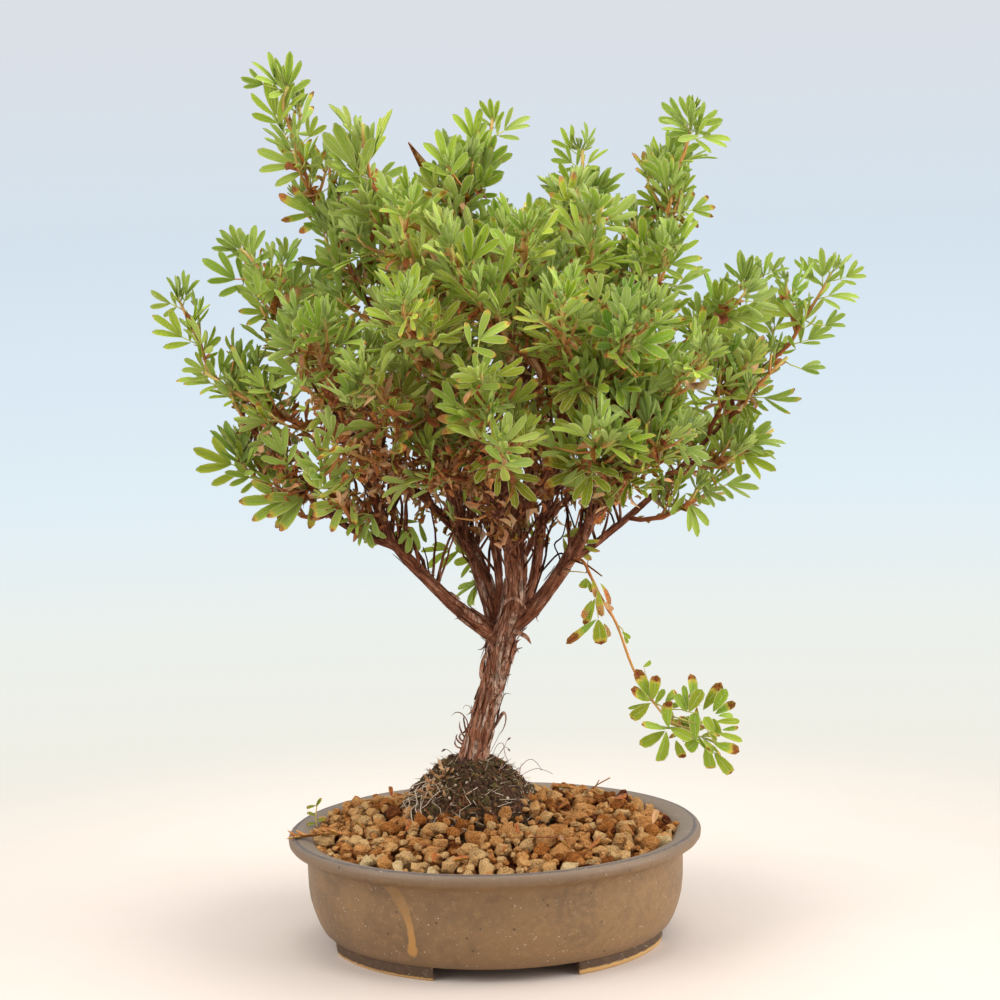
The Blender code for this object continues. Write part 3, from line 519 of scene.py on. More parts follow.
@dataclass(frozen=True)
class LeafFinish:
    """Soft green blade with a pale rib, a pale margin partly painted sheen, painted shade inside the crown,
    browned tips and tan stalks.
    """

    fresh: Colour = shade(144, 168, 74)
    green: Colour = shade(155, 180, 50)
    olive: Colour = shade(150, 160, 34)
    dull: Colour = shade(124, 120, 20)
    rib: Colour = shade(200, 212, 140)
    # Pale margin: the leaf's own paler edge, broadened with painted sheen
    rim: Colour = shade(216, 216, 144)
    under: Colour = shade(174, 194, 104)
    yellow: Colour = shade(214, 186, 78)
    brown: Colour = shade(194, 110, 58)
    burnt: Colour = shade(128, 60, 32)
    warm: Colour = shade(202, 192, 62)
    cool: Colour = shade(96, 152, 52)
    dry: Colour = shade(226, 176, 122)
    husk: Colour = shade(214, 176, 134)
    # The stalk's colours from its green tip to its woody foot
    stalk: tuple[Colour, ...] = (
        shade(180, 190, 96),
        shade(212, 172, 102),
        shade(204, 138, 78),
        shade(168, 98, 54),
        shade(118, 62, 38),
    )

    def made(self, name: str = "cinquefoil_leaf") -> bpy.types.Material:
        """The foliage as a material.

        Args:
            name: The material's name.

        Returns:
            The material.
        """
        sheet = Sheet(name)
        place = sheet.place()
        along = sheet.mark("along")
        across = abs(sheet.mark("across"))
        under = sheet.mark("under")
        wood = sheet.mark("wood")
        tint = sheet.mark("tint")
        age = sheet.mark("age")
        mottle = sheet.cloud(place, 0.5, 3.0, 0.6)
        fine = sheet.cloud(place, 2.6, 2.0, 0.6)
        # The blade darkens from fresh to dull as it grows older and where painted shade is laid on inside
        # the crown
        level = age + (mottle - 0.5) * 0.3
        stops = [(0.0, self.fresh), (0.34, self.green), (0.68, self.olive), (1.0, self.dull)]
        blade = sheet.ramp(level, stops)
        blade = sheet.mix(blade, self.warm, tint.rise(0.1, 1.0) * 0.5)
        blade = sheet.mix(blade, self.cool, (0.0 - tint).rise(0.1, 1.0) * 0.6)
        veins = sheet.node("ShaderNodeMath", {"operation": "SINE"}, {0: (along * 46.0 - across * 9.0)})
        veins = veins.rise(0.55, 1.0) * across.rise(0.05, 0.25) * (1.0 - across.rise(0.7, 0.9))
        blade = sheet.mix(blade, self.rib, veins * 0.16)
        blade = sheet.mix(blade, self.under, under.rise(0.48, 0.6) * 0.6)
        blade = sheet.mix(blade, self.rib, (1.0 - across.rise(0.04, 0.16)) * 0.4)
        # Pale margin, partly the leaf's own edge and partly painted sheen
        blade = sheet.mix(blade, self.rim, across.rise(0.8, 1.0) * 0.75)
        burn = along + (mottle - 0.5) * 0.3 + sheet.mark("burn")
        blade = sheet.mix(blade, self.yellow, burn.rise(0.98, 1.12) * 0.8)
        dead = sheet.mix(self.brown, self.burnt, (mottle - tint * 0.2).rise(0.36, 0.62))
        dead = sheet.mix(dead, self.dry, (tint + mottle - 0.5).rise(0.3, 1.1))
        blade = sheet.mix(blade, dead, burn.rise(1.08, 1.2))
        stops = [(0.25 * i, colour) for i, colour in enumerate(self.stalk)]
        stem = sheet.ramp(wood + (mottle - 0.5) * 0.25, stops)
        stem = sheet.mix(stem, self.husk, fine.rise(0.62, 0.75) * 0.4)
        skin = sheet.mix(blade, stem, wood.rise(-0.6, -0.4))
        relief = veins * 0.5 + fine * 0.25 + (1.0 - across.rise(0.0, 0.16)) * -0.6
        sheer = {
            "Specular IOR Level": 0.18,
            "Subsurface Weight": 0.25,
            "Subsurface Radius": (0.6, 1.0, 0.2),
            "Subsurface Scale": 0.002,
        }
        return sheet.finish(skin, 0.5 + 0.25 * mottle + 0.1 * age, sheet.bump(relief, 0.25, 0.6), sheer)


@dataclass(frozen=True)
class NetFinish:
    """Black moulded plastic, dusted with clay."""

    plastic: Colour = shade(38, 36, 34)
    dust: Colour = shade(134, 100, 68)

    def made(self) -> bpy.types.Material:
        """The drain net as a material."""
        sheet = Sheet("dusty_plastic")
        place = sheet.place()
        dust = sheet.cloud(place, 0.5, 4.0, 0.65)
        fine = sheet.cloud(place, 4.0, 2.0)
        skin = sheet.mix(self.plastic, self.dust, dust.rise(0.45, 0.7) * 0.7)
        return sheet.finish(skin, 0.4 + 0.4 * dust, sheet.bump(fine, 0.1, 0.5))


@dataclass(frozen=True)
class FloorFinish:
    """Pale studio floor that runs out into the backdrop."""

    near: Colour = shade(220, 208, 198)
    grit: Colour = shade(214, 200, 187)

    def made(self) -> bpy.types.Material:
        """The floor as a material."""
        sheet = Sheet("studio_floor")
        place = sheet.place((MM, MM, MM))
        reach = sheet.node("ShaderNodeVectorMath", {"operation": "LENGTH"}, {0: place}, "Value")
        grain = sheet.cloud(place, 30.0, 3.0)
        skin = sheet.mix(self.near, self.grit, grain * 0.5)
        fade = 1.0 - reach.rise(0.12, 0.42)
        return sheet.finish(skin, 0.7 + 0.1 * grain, None, {"Alpha": fade, "Specular IOR Level": 0.2})


# Shape kit

MARKS = (
    "along", "across", "under", "wood", "tint", "age", "burn", "stone", "tone", "bare", "lip_tint_and_shade", "papery",
)
TOUCH = 0.0005


def layer(shape: bmesh.types.BMesh, name: str) -> bmesh.types.BMLayerItem:
    """The number layer of that name on a shape's points, made if it is missing."""
    layers = shape.verts.layers.float
    return layers.get(name) or layers.new(name)


def stamp(shape: bmesh.types.BMesh, **values: float) -> bmesh.types.BMesh:
    """Writes the same numbers on all points of a shape, and returns the shape."""
    for name, value in values.items():
        marks = layer(shape, name)
        for vertex in shape.verts:
            vertex[marks] = value
    return shape


def as_mesh(shape: bmesh.types.BMesh) -> bpy.types.Mesh:
    """A bmesh turned into a mesh and freed."""
    mesh = bpy.data.meshes.new("scrap")
    shape.to_mesh(mesh)
    shape.free()
    return mesh


def linked(name: str, data: bpy.types.ID) -> bpy.types.Object:
    """A new object of the scene that shows this data."""
    made = bpy.data.objects.new(name, data)
    bpy.context.scene.collection.objects.link(made)
    return made


def divided(
    section: Sequence[Sequence[float]], step: float, fine_above: float = 0.0
) -> list[Sequence[float]]:
    """A section with more points.

    Args:
        section: Its points: radius, height and any marks.
        step: The longest piece allowed between two points.
        fine_above: Height below which a piece is only halved.

    Returns:
        The points.
    """
    rows: list[Sequence[float]] = []
    for a, b in zip(section, section[1:]):
        pieces = max(1, math.ceil(math.dist(a[:2], b[:2]) / step)) if b[1] > fine_above else 2
        rows += [[u + (v - u) * i / pieces for u, v in zip(a, b)] for i in range(pieces)]
    return [*rows, section[-1]]


def spun(
    rows: Sequence[Sequence[float]],
    steps: int,
    names: Sequence[str] = (),
    ring: bool = False,
    angle: float = math.tau,
) -> bmesh.types.BMesh:
    """A section turned about the upright axis.

    Args:
        rows: The section's points: radius, height and marks.
        steps: Steps of the turn.
        names: What the marks are called.
        ring: Whether its last point joins its first.
        angle: How far it turns.

    Returns:
        The shape, closed at its seam and poles, its normals recalculated.
    """
    shape = bmesh.new()
    marks = [layer(shape, name) for name in names]
    points = []
    for radius, height, *values in rows:
        points.append(shape.verts.new((radius, 0.0, height)))
        for mark, value in zip(marks, values):
            points[-1][mark] = value
    after = points[1:] + points[:1] if ring else points[1:]
    edges = [shape.edges.new(pair) for pair in zip(points, after)]
    bmesh.ops.spin(
        shape, geom=[*points, *edges], cent=(0, 0, 0), axis=(0, 0, 1), angle=angle, steps=steps,
        use_merge=angle == math.tau, use_duplicate=False,
    )
    bmesh.ops.remove_doubles(shape, verts=shape.verts, dist=TOUCH)
    bmesh.ops.recalc_face_normals(shape, faces=shape.faces)
    return shape


def beside(along: Vector, around: float) -> Vector:
    """A way square to a line, turned about it."""
    side = along.orthogonal().normalized()
    side.rotate(Matrix.Rotation(around, 3, along))
    return side


def smooth_line(points: Sequence[Sequence[float]], steps: int) -> list[Vector]:
    """A smooth line through points.

    Args:
        points: The points that it passes.
        steps: Pieces between neighbours.

    Returns:
        Its points.
    """
    rows = [Vector(p) for p in points]
    ends = [2 * rows[0] - rows[1], *rows, 2 * rows[-1] - rows[-2]]
    found = []
    for before, a, b, after in zip(ends, ends[1:], ends[2:], ends[3:]):
        for i in range(steps):
            t = i / steps
            curve = 2 * a + (b - before) * t + (2 * before - 5 * a + 4 * b - after) * t**2
            found.append(0.5 * (curve + (3 * a - before - 3 * b + after) * t**3))
    found.append(rows[-1])
    return found


def spread_of(draw: random.Random, size: float) -> Vector:
    """A vector of chance, that long in each direction on average."""
    return Vector((draw.gauss(0, size), draw.gauss(0, size), draw.gauss(0, size)))


def swept(
    points: Sequence[Vector],
    radii: Sequence[float],
    sides: int,
    flat: float = 1.0,
    start: Optional[Vector] = None,
) -> bmesh.types.BMesh:
    """A closed tube or strip along points.

    Args:
        points: Its middle line.
        radii: Its half width at each point.
        sides: Sides of its section.
        flat: Thickness as a share of the width.
        start: The way its section's width points at the start.

    Returns:
        The shape, with "along" from 0 to 1.
    """
    shape = bmesh.new()
    marks = layer(shape, "along")
    side = start
    places = []
    for i, point in enumerate(points):
        way = (points[min(i + 1, len(points) - 1)] - points[max(i - 1, 0)]).normalized()
        side = way.orthogonal() if side is None else side - way * side.dot(way)
        side.normalize()
        turn = Matrix((side, way.cross(side), way)).transposed().to_4x4()
        size = Matrix.Diagonal((radii[i], radii[i] * flat, radii[i], 1.0))
        places.append(Matrix.Translation(point) @ turn @ size)
    ring = bmesh.ops.create_circle(shape, cap_ends=True, segments=sides, radius=1.0)["verts"]
    bmesh.ops.transform(shape, matrix=places[0], verts=ring)
    rim = list(shape.edges)
    for i, (before, after) in enumerate(zip(places, places[1:])):
        grown = bmesh.ops.extrude_edge_only(shape, edges=rim)["geom"]
        ring = [g for g in grown if isinstance(g, bmesh.types.BMVert)]
        fresh = set(ring)
        rim = [g for g in grown if isinstance(g, bmesh.types.BMEdge) and fresh.issuperset(g.verts)]
        bmesh.ops.transform(shape, matrix=after @ before.inverted(), verts=ring)
        for vertex in ring:
            vertex[marks] = (i + 1) / (len(points) - 1)
    bmesh.ops.edgeloop_fill(shape, edges=rim)
    bmesh.ops.recalc_face_normals(shape, faces=shape.faces)
    return shape


class Heap:
    """Shapes gathered into one mesh, each with its own place and marks."""

    def __init__(self) -> None:
        """Starts empty."""
        self.shape = bmesh.new()
        for name in MARKS:
            layer(self.shape, name)

    def add(self, mesh: bpy.types.Mesh, place: Optional[Matrix] = None, **marks: float) -> None:
        """Adds a copy of a mesh.

        Args:
            mesh: The mesh, which stays as it is.
            place: Where the copy goes.
            **marks: Numbers written on all its points.
        """
        copy = mesh.copy()
        if place is not None:
            copy.transform(place)
        for name, value in marks.items():
            row = copy.attributes.get(name) or copy.attributes.new(name, "FLOAT", "POINT")
            row.data.foreach_set("value", [value] * len(copy.vertices))
        self.shape.from_mesh(copy)
        bpy.data.meshes.remove(copy)

    def take(self, shape: bmesh.types.BMesh, place: Optional[Matrix] = None, **marks: float) -> None:
        """Adds a shape and frees it.

        Args:
            shape: The shape.
            place: Where it goes.
            **marks: Numbers written on all its points.
        """
        mesh = as_mesh(shape)
        self.add(mesh, place, **marks)
        bpy.data.meshes.remove(mesh)


def set_down(
    name: str,
    shape: bmesh.types.BMesh,
    finish: bpy.types.Material,
    stands_for: Sequence[str] = (),
    crease: Optional[float] = None,
) -> bpy.types.Object:
    """Turns a shape in millimetres into a finished piece of the object.

    Args:
        name: The piece's name.
        shape: The shape, which is freed.
        finish: Its material.
        stands_for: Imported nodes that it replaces.
        crease: Angle in degrees past which an edge shows sharp.

    Returns:
        The piece.
    """
    bmesh.ops.translate(shape, vec=POT_OFFSET, verts=shape.verts)
    bmesh.ops.scale(shape, vec=(MM, MM, MM), verts=shape.verts)
    for face in shape.faces:
        face.smooth = True
    mesh = bpy.data.meshes.new(name)
    shape.to_mesh(mesh)
    shape.free()
    if crease is not None:
        mesh.set_sharp_from_angle(angle=math.radians(crease))
    mesh.materials.append(finish)
    piece = linked(name, mesh)
    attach(piece, "root")
    if stands_for:
        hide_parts(*stands_for)
    LOG.info("%s: %d triangles", name, sum(len(face.vertices) - 2 for face in mesh.polygons))
    return piece


# Pot


@dataclass
class Pot:
    """Low oval bowl with a rolled lip, on four short curved feet."""

    steps: int = 144
    foot_top: float = 7.5
    foot_outer: float = 69.8
    foot_inner: float = 58.0
    front_gap: float = 57.0
    side_gap: float = 40.0
    foot_turn: float = math.radians(3.2)
    # Radius, height, tone (0 wall, 0.5 grey ledge, 1 dark line) and lip tint of the wall's section, which
    # starts and ends at the drain hole; the lip tint greys the lip's outer face and darkens it as painted
    # shade
    section: tuple[tuple[float, float, float, float], ...] = (
        (9.0, 9.5, 0.0, 0.0), (40.0, 9.5, 0.0, 0.0), (64.0, 9.6, 0.0, 0.0), (70.0, 11.6, 0.1, 0.0),
        (72.0, 18.0, 0.2, 0.0), (72.0, 30.0, 0.4, 0.0), (72.1, 38.0, 0.5, 0.0), (73.4, 42.0, 0.5, 0.0),
        (75.6, 44.6, 0.5, 0.0), (78.2, 45.7, 0.5, 0.0), (81.0, 46.3, 0.52, 0.0), (82.4, 46.5, 0.95, 0.0),
        (83.5, 46.2, 0.8, 0.4), (84.4, 45.5, 0.3, 1.0), (85.0, 44.4, 0.1, 0.9), (84.9, 43.1, 0.04, 0.5),
        (84.0, 41.9, 0.02, 0.0), (82.0, 40.8, 0.0, 0.0), (79.6, 39.6, 0.05, 0.0), (78.2, 38.0, 0.0, 0.0),
        (77.5, 35.6, 0.0, 0.0), (77.4, 30.0, 0.0, 0.0), (77.2, 24.5, 0.0, 0.0), (76.6, 19.5, 0.0, 0.0),
        (75.4, 15.0, 0.0, 0.0), (73.8, 10.8, 0.0, 0.0), (71.9, 7.4, 0.0, 0.0), (70.2, 5.8, 0.0, 0.0),
        (66.0, 5.5, 0.0, 0.0), (9.0, 5.5, 0.0, 0.0),
    )

    def wall(self) -> bmesh.types.BMesh:
        """The bowl, spun from its section, with a slightly uneven hand-made surface."""
        shape = spun(divided(self.section, 2.4), self.steps, ("tone", "lip_tint_and_shade"), ring=True)
        for vertex in shape.verts:
            out = Vector((vertex.co.x, vertex.co.y, 0.0)).normalized()
            wave = noise.noise(vertex.co * 0.035) * 0.35 + noise.noise(vertex.co * 0.16) * 0.1
            vertex.co += out * wave * min(1.0, max(0.0, (vertex.co.z - 6.0) / 8.0))
        return shape

    def foot(self, quadrant: int) -> bmesh.types.BMesh:
        """One foot: a quarter ring cut off square at both ends, its edges eased.

        Args:
            quadrant: Which quarter of the pot it stands under.

        Returns:
            The foot.
        """
        corners = (
            (self.foot_inner, self.foot_top), (self.foot_outer, self.foot_top), (self.foot_outer - 0.3, 3.0),
            (self.foot_outer - 0.9, 0.0), (self.foot_inner, 0.0),
        )
        shape = spun(corners, 24, ring=True, angle=math.tau / 4)
        sides = (((self.front_gap / 2, 0, 0), (-1, 0, 0)), ((0, self.side_gap / 2, 0), (0, -1, 0)))
        for place, way in sides:
            geometry = [*shape.verts, *shape.edges, *shape.faces]
            bmesh.ops.bisect_plane(
                shape, geom=geometry, dist=TOUCH, plane_co=place, plane_no=way, clear_outer=True
            )
            bmesh.ops.holes_fill(shape, edges=[edge for edge in shape.edges if edge.is_boundary])
        bmesh.ops.remove_doubles(shape, verts=shape.verts, dist=TOUCH)
        bmesh.ops.recalc_face_normals(shape, faces=shape.faces)
        if quadrant % 2:
            bmesh.ops.scale(shape, vec=(-1.0, 1.0, 1.0), verts=shape.verts)
            bmesh.ops.reverse_faces(shape, faces=shape.faces)
        if quadrant > 1:
            bmesh.ops.rotate(shape, matrix=Matrix.Rotation(math.pi, 3, "Z"), verts=shape.verts)
        sharp = [edge for edge in shape.edges if edge.calc_face_angle(0.0) > math.radians(50)]
        bmesh.ops.bevel(shape, geom=sharp, offset=0.7, segments=2, affect="EDGES", profile=0.5, material=-1)
        bmesh.ops.rotate(shape, matrix=Matrix.Rotation(self.foot_turn, 3, "Z"), verts=shape.verts)
        return shape

    def build(self) -> None:
        """Makes the pot and sets it down."""
        heap = Heap()
        heap.take(self.wall())
        for quadrant in range(4):
            heap.take(self.foot(quadrant), bare=1.0)
        bmesh.ops.scale(heap.shape, vec=(1.0, OVAL, 1.0), verts=heap.shape.verts)
        set_down("glazed_pot", heap.shape, GlazeFinish().made(), ["pot"], 40.0)


# Bed of granules


@dataclass
class GranuleBed:
    """Heaped clay granules of mixed sizes over a base tinted dark as painted shade, settled one on another.
    """

    reach: float = 76.4
    edge_level: float = 44.4
    crown_level: float = 49.6
    base_depth: float = 8.0
    attempts: int = 15000
    shapes: int = 18
    mound: Vector = field(default_factory=lambda: Vector((-9.4, 15.0)))
    mound_reach: float = 20.5
    # Pale stones seen on top: position, radius
    stones: tuple[tuple[float, float, float], ...] = (
        (28.4, -61.0, 4.6),
        (68.0, -26.0, 4.2),
        (-37.5, -54.5, 3.2),
        (-50.0, -46.0, 3.4),
        (-24.0, -60.0, 3.0),
    )
    # Radius and height of the body under the loose top, tinted dark as painted shade in the gaps
    underside: tuple[tuple[float, float], ...] = (
        (0.0, 10.2), (64.0, 10.2), (70.6, 17.0), (71.8, 37.4), (66.0, 39.0), (30.0, 41.4), (0.0, 42.0),
    )
    # Loose heaps: x, y, height and reach
    heaps: tuple[tuple[float, float, float, float], ...] = (
        (36.0, 42.0, 3.4, 44.0), (-58.0, 38.0, 4.4, 46.0), (15.0, 4.0, 3.8, 27.0),
        (-2.0, -70.0, -2.4, 50.0),
    )
    cell: float = 12.0
    sink: float = 0.93

    def level(self, x: float, y: float) -> float:
        """The bed's height at a point, higher at the back right."""
        share = math.hypot(x, y / OVAL) / self.reach
        near = (Vector((x, y)) - self.mound).length
        heap = 3.6 * max(0.0, 1.0 - abs(near - 27.0) / 15.0)
        heap += 1.3 * noise.noise(Vector((x * 0.05, y * 0.05, 3.0)))
        for u, v, height, wide in self.heaps:
            heap += height * max(0.0, 1.0 - math.hypot(x - u, y - v) / wide)
        return self.edge_level + (self.crown_level - self.edge_level) * (1.0 - share**2) + heap

    def granule(self, draw: random.Random) -> bpy.types.Mesh:
        """One granule of radius 1: a ball with rubbed flats and a crumbly surface."""
        shape = bmesh.new()
        bmesh.ops.create_icosphere(shape, subdivisions=2, radius=1.0)
        flats = []
        for _ in range(8):
            way = spread_of(draw, 1.0).normalized()
            flats.append((way, draw.uniform(0.5, 0.84)))
        seed = Vector((draw.uniform(0, 90), draw.uniform(0, 90), draw.uniform(0, 90)))
        for vertex in shape.verts:
            for way, off in flats:
                proud = vertex.co.dot(way) - off
                if proud > 0:
                    vertex.co -= way * proud * 0.95
            coarse, fine = noise.noise(vertex.co * 1.5 + seed), noise.noise(vertex.co * 3.9 + seed)
            vertex.co *= 1.04 + 0.24 * coarse + 0.3 * fine
        size = (1.08, draw.uniform(0.9, 1.06), draw.uniform(0.84, 1.02))
        bmesh.ops.scale(shape, vec=size, verts=shape.verts)
        return as_mesh(shape)

    def base(self) -> bmesh.types.BMesh:
        """The body of the bed under the loose top, tinted dark as painted shade in the gaps between
        granules.
        """
        shape = spun(self.underside, 48)
        bmesh.ops.scale(shape, vec=(1.0, OVAL, 1.0), verts=shape.verts)
        return stamp(shape, tint=0.05)

    def settled(self, draw: random.Random) -> list[tuple[Vector, float]]:
        """Drops granules one by one onto those that lie there.

        Args:
            draw: Source of chance.

        Returns:
            The middle and radius of each.
        """
        placed: list[tuple[Vector, float]] = []
        cells: dict[tuple[int, int], list[tuple[Vector, float]]] = {}
        side = self.cell

        def put(middle: Vector, radius: float) -> None:
            """Notes a granule that has come to rest."""
            placed.append((middle, radius))
            cells.setdefault((int(middle.x // side), int(middle.y // side)), []).append((middle, radius))

        for x, y, radius in self.stones:
            put(Vector((x, y, self.level(x, y) - radius * 0.2)), radius)
        for attempt in range(self.attempts):
            small = attempt > self.attempts * 0.8
            radius = draw.uniform(1.3, 2.4) if small else 3.0 + 2.2 * draw.random() ** 1.3
            around, share = draw.uniform(0, math.tau), math.sqrt(draw.random())
            reach = (self.reach - radius) * share
            x, y = reach * math.cos(around), reach * math.sin(around) * OVAL
            if (Vector((x, y)) - self.mound).length < self.mound_reach:
                continue
            wanted = self.level(x, y)
            rest = wanted - self.base_depth + radius
            column, row = int(x // side), int(y // side)
            for i in (column - 1, column, column + 1):
                for j in (row - 1, row, row + 1):
                    for middle, other in cells.get((i, j), ()):
                        apart = math.hypot(x - middle.x, y - middle.y)
                        touch = (radius + other) * self.sink
                        if apart < touch:
                            rest = max(rest, middle.z + math.sqrt(touch**2 - apart**2))
            if rest + radius * 0.55 <= wanted + 1.4:
                put(Vector((x, y, rest)), radius)
        return placed

    def build(self) -> None:
        """Makes the bed and sets it down."""
        draw = random.Random(21)
        kinds = [self.granule(draw) for _ in range(self.shapes)]
        heap = Heap()
        heap.take(self.base())
        rows = self.settled(draw)
        for i, (middle, radius) in enumerate(rows):
            turn = Matrix.Rotation(draw.uniform(0, math.tau), 4, "Z")
            tip = Matrix.Rotation(draw.uniform(-0.6, 0.6), 4, "X")
            place = Matrix.Translation(middle) @ turn @ tip @ Matrix.Scale(radius, 4)
            pale = 1.0 if i < len(self.stones) else 0.0
            # Tint drops towards the back right; granules sunk below the bed's level get darker still:
            # painted shade in the gaps
            sunk_shade = max(0.0, self.level(middle.x, middle.y) - middle.z - 2.0) / 6.0
            tint = draw.gauss(0.62 - 0.0016 * (middle.x + middle.y), 0.24) - 0.5 * sunk_shade
            tint = min(1.0, max(0.0, tint))
            heap.add(draw.choice(kinds), place, tint=tint, stone=pale)
        LOG.info("%d granules", len(rows))
        set_down("clay_granules", heap.shape, GranuleFinish().made(), ["granule_bed"], 28.0)


@dataclass
class Litter:
    """Small dry and green bits that have fallen or sprouted on the bed."""

    # Dead leaflets: middle, turn about the upright in degrees, length, how brown
    scraps: tuple[tuple[float, float, float, float, float, float], ...] = (
        (64.4, -14.0, 48.8, 70, 9.0, 1.1), (36.7, -46.0, 47.2, 20, 8.0, 1.0),
        (30.0, -44.0, 47.6, 150, 7.0, 1.0), (-18.0, -56.0, 46.6, 10, 8.5, 1.0),
        (-24.0, -55.0, 46.6, 80, 6.5, 1.2), (10.0, -30.0, 50.4, 110, 6.0, 1.1),
        (-36.0, -22.0, 50.4, 60, 7.0, 1.1), (50.0, 20.0, 51.0, 30, 7.5, 1.2),
        (33.0, 44.0, 51.0, 170, 8.0, 1.2), (56.0, -30.0, 48.6, 130, 6.0, 1.0),
        (-60.0, 20.0, 49.0, 40, 6.0, 1.0), (-44.0, 40.0, 49.6, 100, 7.0, 1.1),
        (26.0, 2.0, 52.0, 20, 6.0, 1.1), (3.0, -48.0, 48.0, 60, 5.0, 1.1),
        (-52.0, -14.0, 50.0, 160, 6.0, 1.2),
    )

    def build(self) -> None:
        """Makes the bits and sets them down."""
        draw = random.Random(8)
        heap = Heap()
        for x, y, z, turn, length, brown in self.scraps:
            tilt = math.radians(turn)
            way = Vector((math.cos(tilt), math.sin(tilt), draw.uniform(-0.1, 0.3))).normalized()
            piece = blade(length, length * 0.36, 0.8, draw.gauss(0.6, 0.5), 0.3, draw.gauss(0, 0.6))
            place, tint = turned(Vector((x, y, z)), way, UP, 1.0), 0.3 + max(0.0, length - 8.5) * 2.0
            heap.take(piece, place, wood=-1.0, burn=brown + 0.4, tint=tint)
        conifer = ((-80.5, -13.0, 47.0), (-74.5, -12.6, 47.4), (-68.5, -13.0, 48.0), (-62.5, -14.0, 48.4))
        stem = smooth_line(conifer, 5)
        heap.take(swept(stem, [0.8 - 0.02 * i for i in range(len(stem))], 4), wood=0.55)
        for i, point in enumerate(stem[:-1]):
            for side in (-1.0, 1.0):
                way = Vector((-0.75, side * draw.uniform(0.4, 0.8), draw.uniform(-0.1, 0.4))).normalized()
                scale = blade(draw.uniform(3.6, 6.4), 1.7, 0.5, 0.2, 0.5, stations=SCALE)
                heap.take(scale, turned(point, way, UP, 1.0), wood=draw.uniform(0.42, 0.7))
        sprout = ((-73.6, 9.0, 44.0), (-74.6, 10.0, 49.0), (-73.8, 10.0, 54.4))
        heap.take(swept([Vector(point) for point in sprout], [0.35] * 3, 4), wood=0.2)
        for height, turn in ((46.6, 165), (47.6, 30), (49.8, 140), (53.8, 65), (54.2, 175)):
            tilt = math.radians(turn)
            way = Vector((math.cos(tilt), -0.3, math.sin(tilt) - 0.2)).normalized()
            place = turned(Vector((-74.2, 10.0, height)), way, Vector((0.2, -1.0, 0.5)), 1.0)
            piece = blade(4.2, 1.8, 0.8, -0.9)
            heap.take(piece, place, wood=-1.0, age=0.9, tint=-0.3, burn=draw.uniform(0.1, 0.3))
        mound = RootMound()
        for _ in range(26):
            around, height = draw.gauss(3.75, 0.28), draw.uniform(58.0, 70.0)
            foot = mound.surface(around, height, 0.6)
            way = (spread_of(draw, 1.0) + (foot - mound.middle - UP * height) * 0.02).normalized()
            length, width = draw.uniform(2.6, 6.0), draw.uniform(1.0, 2.2)
            curl, twist = draw.gauss(1.0, 0.9), draw.gauss(0, 1.2)
            piece = blade(length, width, 0.9, curl, 0.3, twist, CRISP)
            heap.take(piece, turned(foot, way, UP, 1.0), wood=-1.0, burn=1.4, tint=draw.uniform(0.5, 1.5))
        for points, width in (
            (((40.0, 50.0, 47.0), (45.0, 52.0, 50.0), (50.6, 54.0, 52.4)), 0.3),
            (((44.0, 51.6, 49.2), (45.6, 50.0, 52.4)), 0.25),
            (((14.0, -36.0, 50.4), (20.0, -38.0, 50.8), (27.0, -36.0, 50.2)), 0.35),
            (((-30.0, -40.0, 49.6), (-24.0, -43.0, 49.8), (-19.0, -42.0, 49.2)), 0.3),
        ):
            heap.take(swept([Vector(p) for p in points], [width] * len(points), 4), wood=0.9)
        set_down("bed_litter", heap.shape, LeafFinish().made("fallen_bits"))


# Root mound


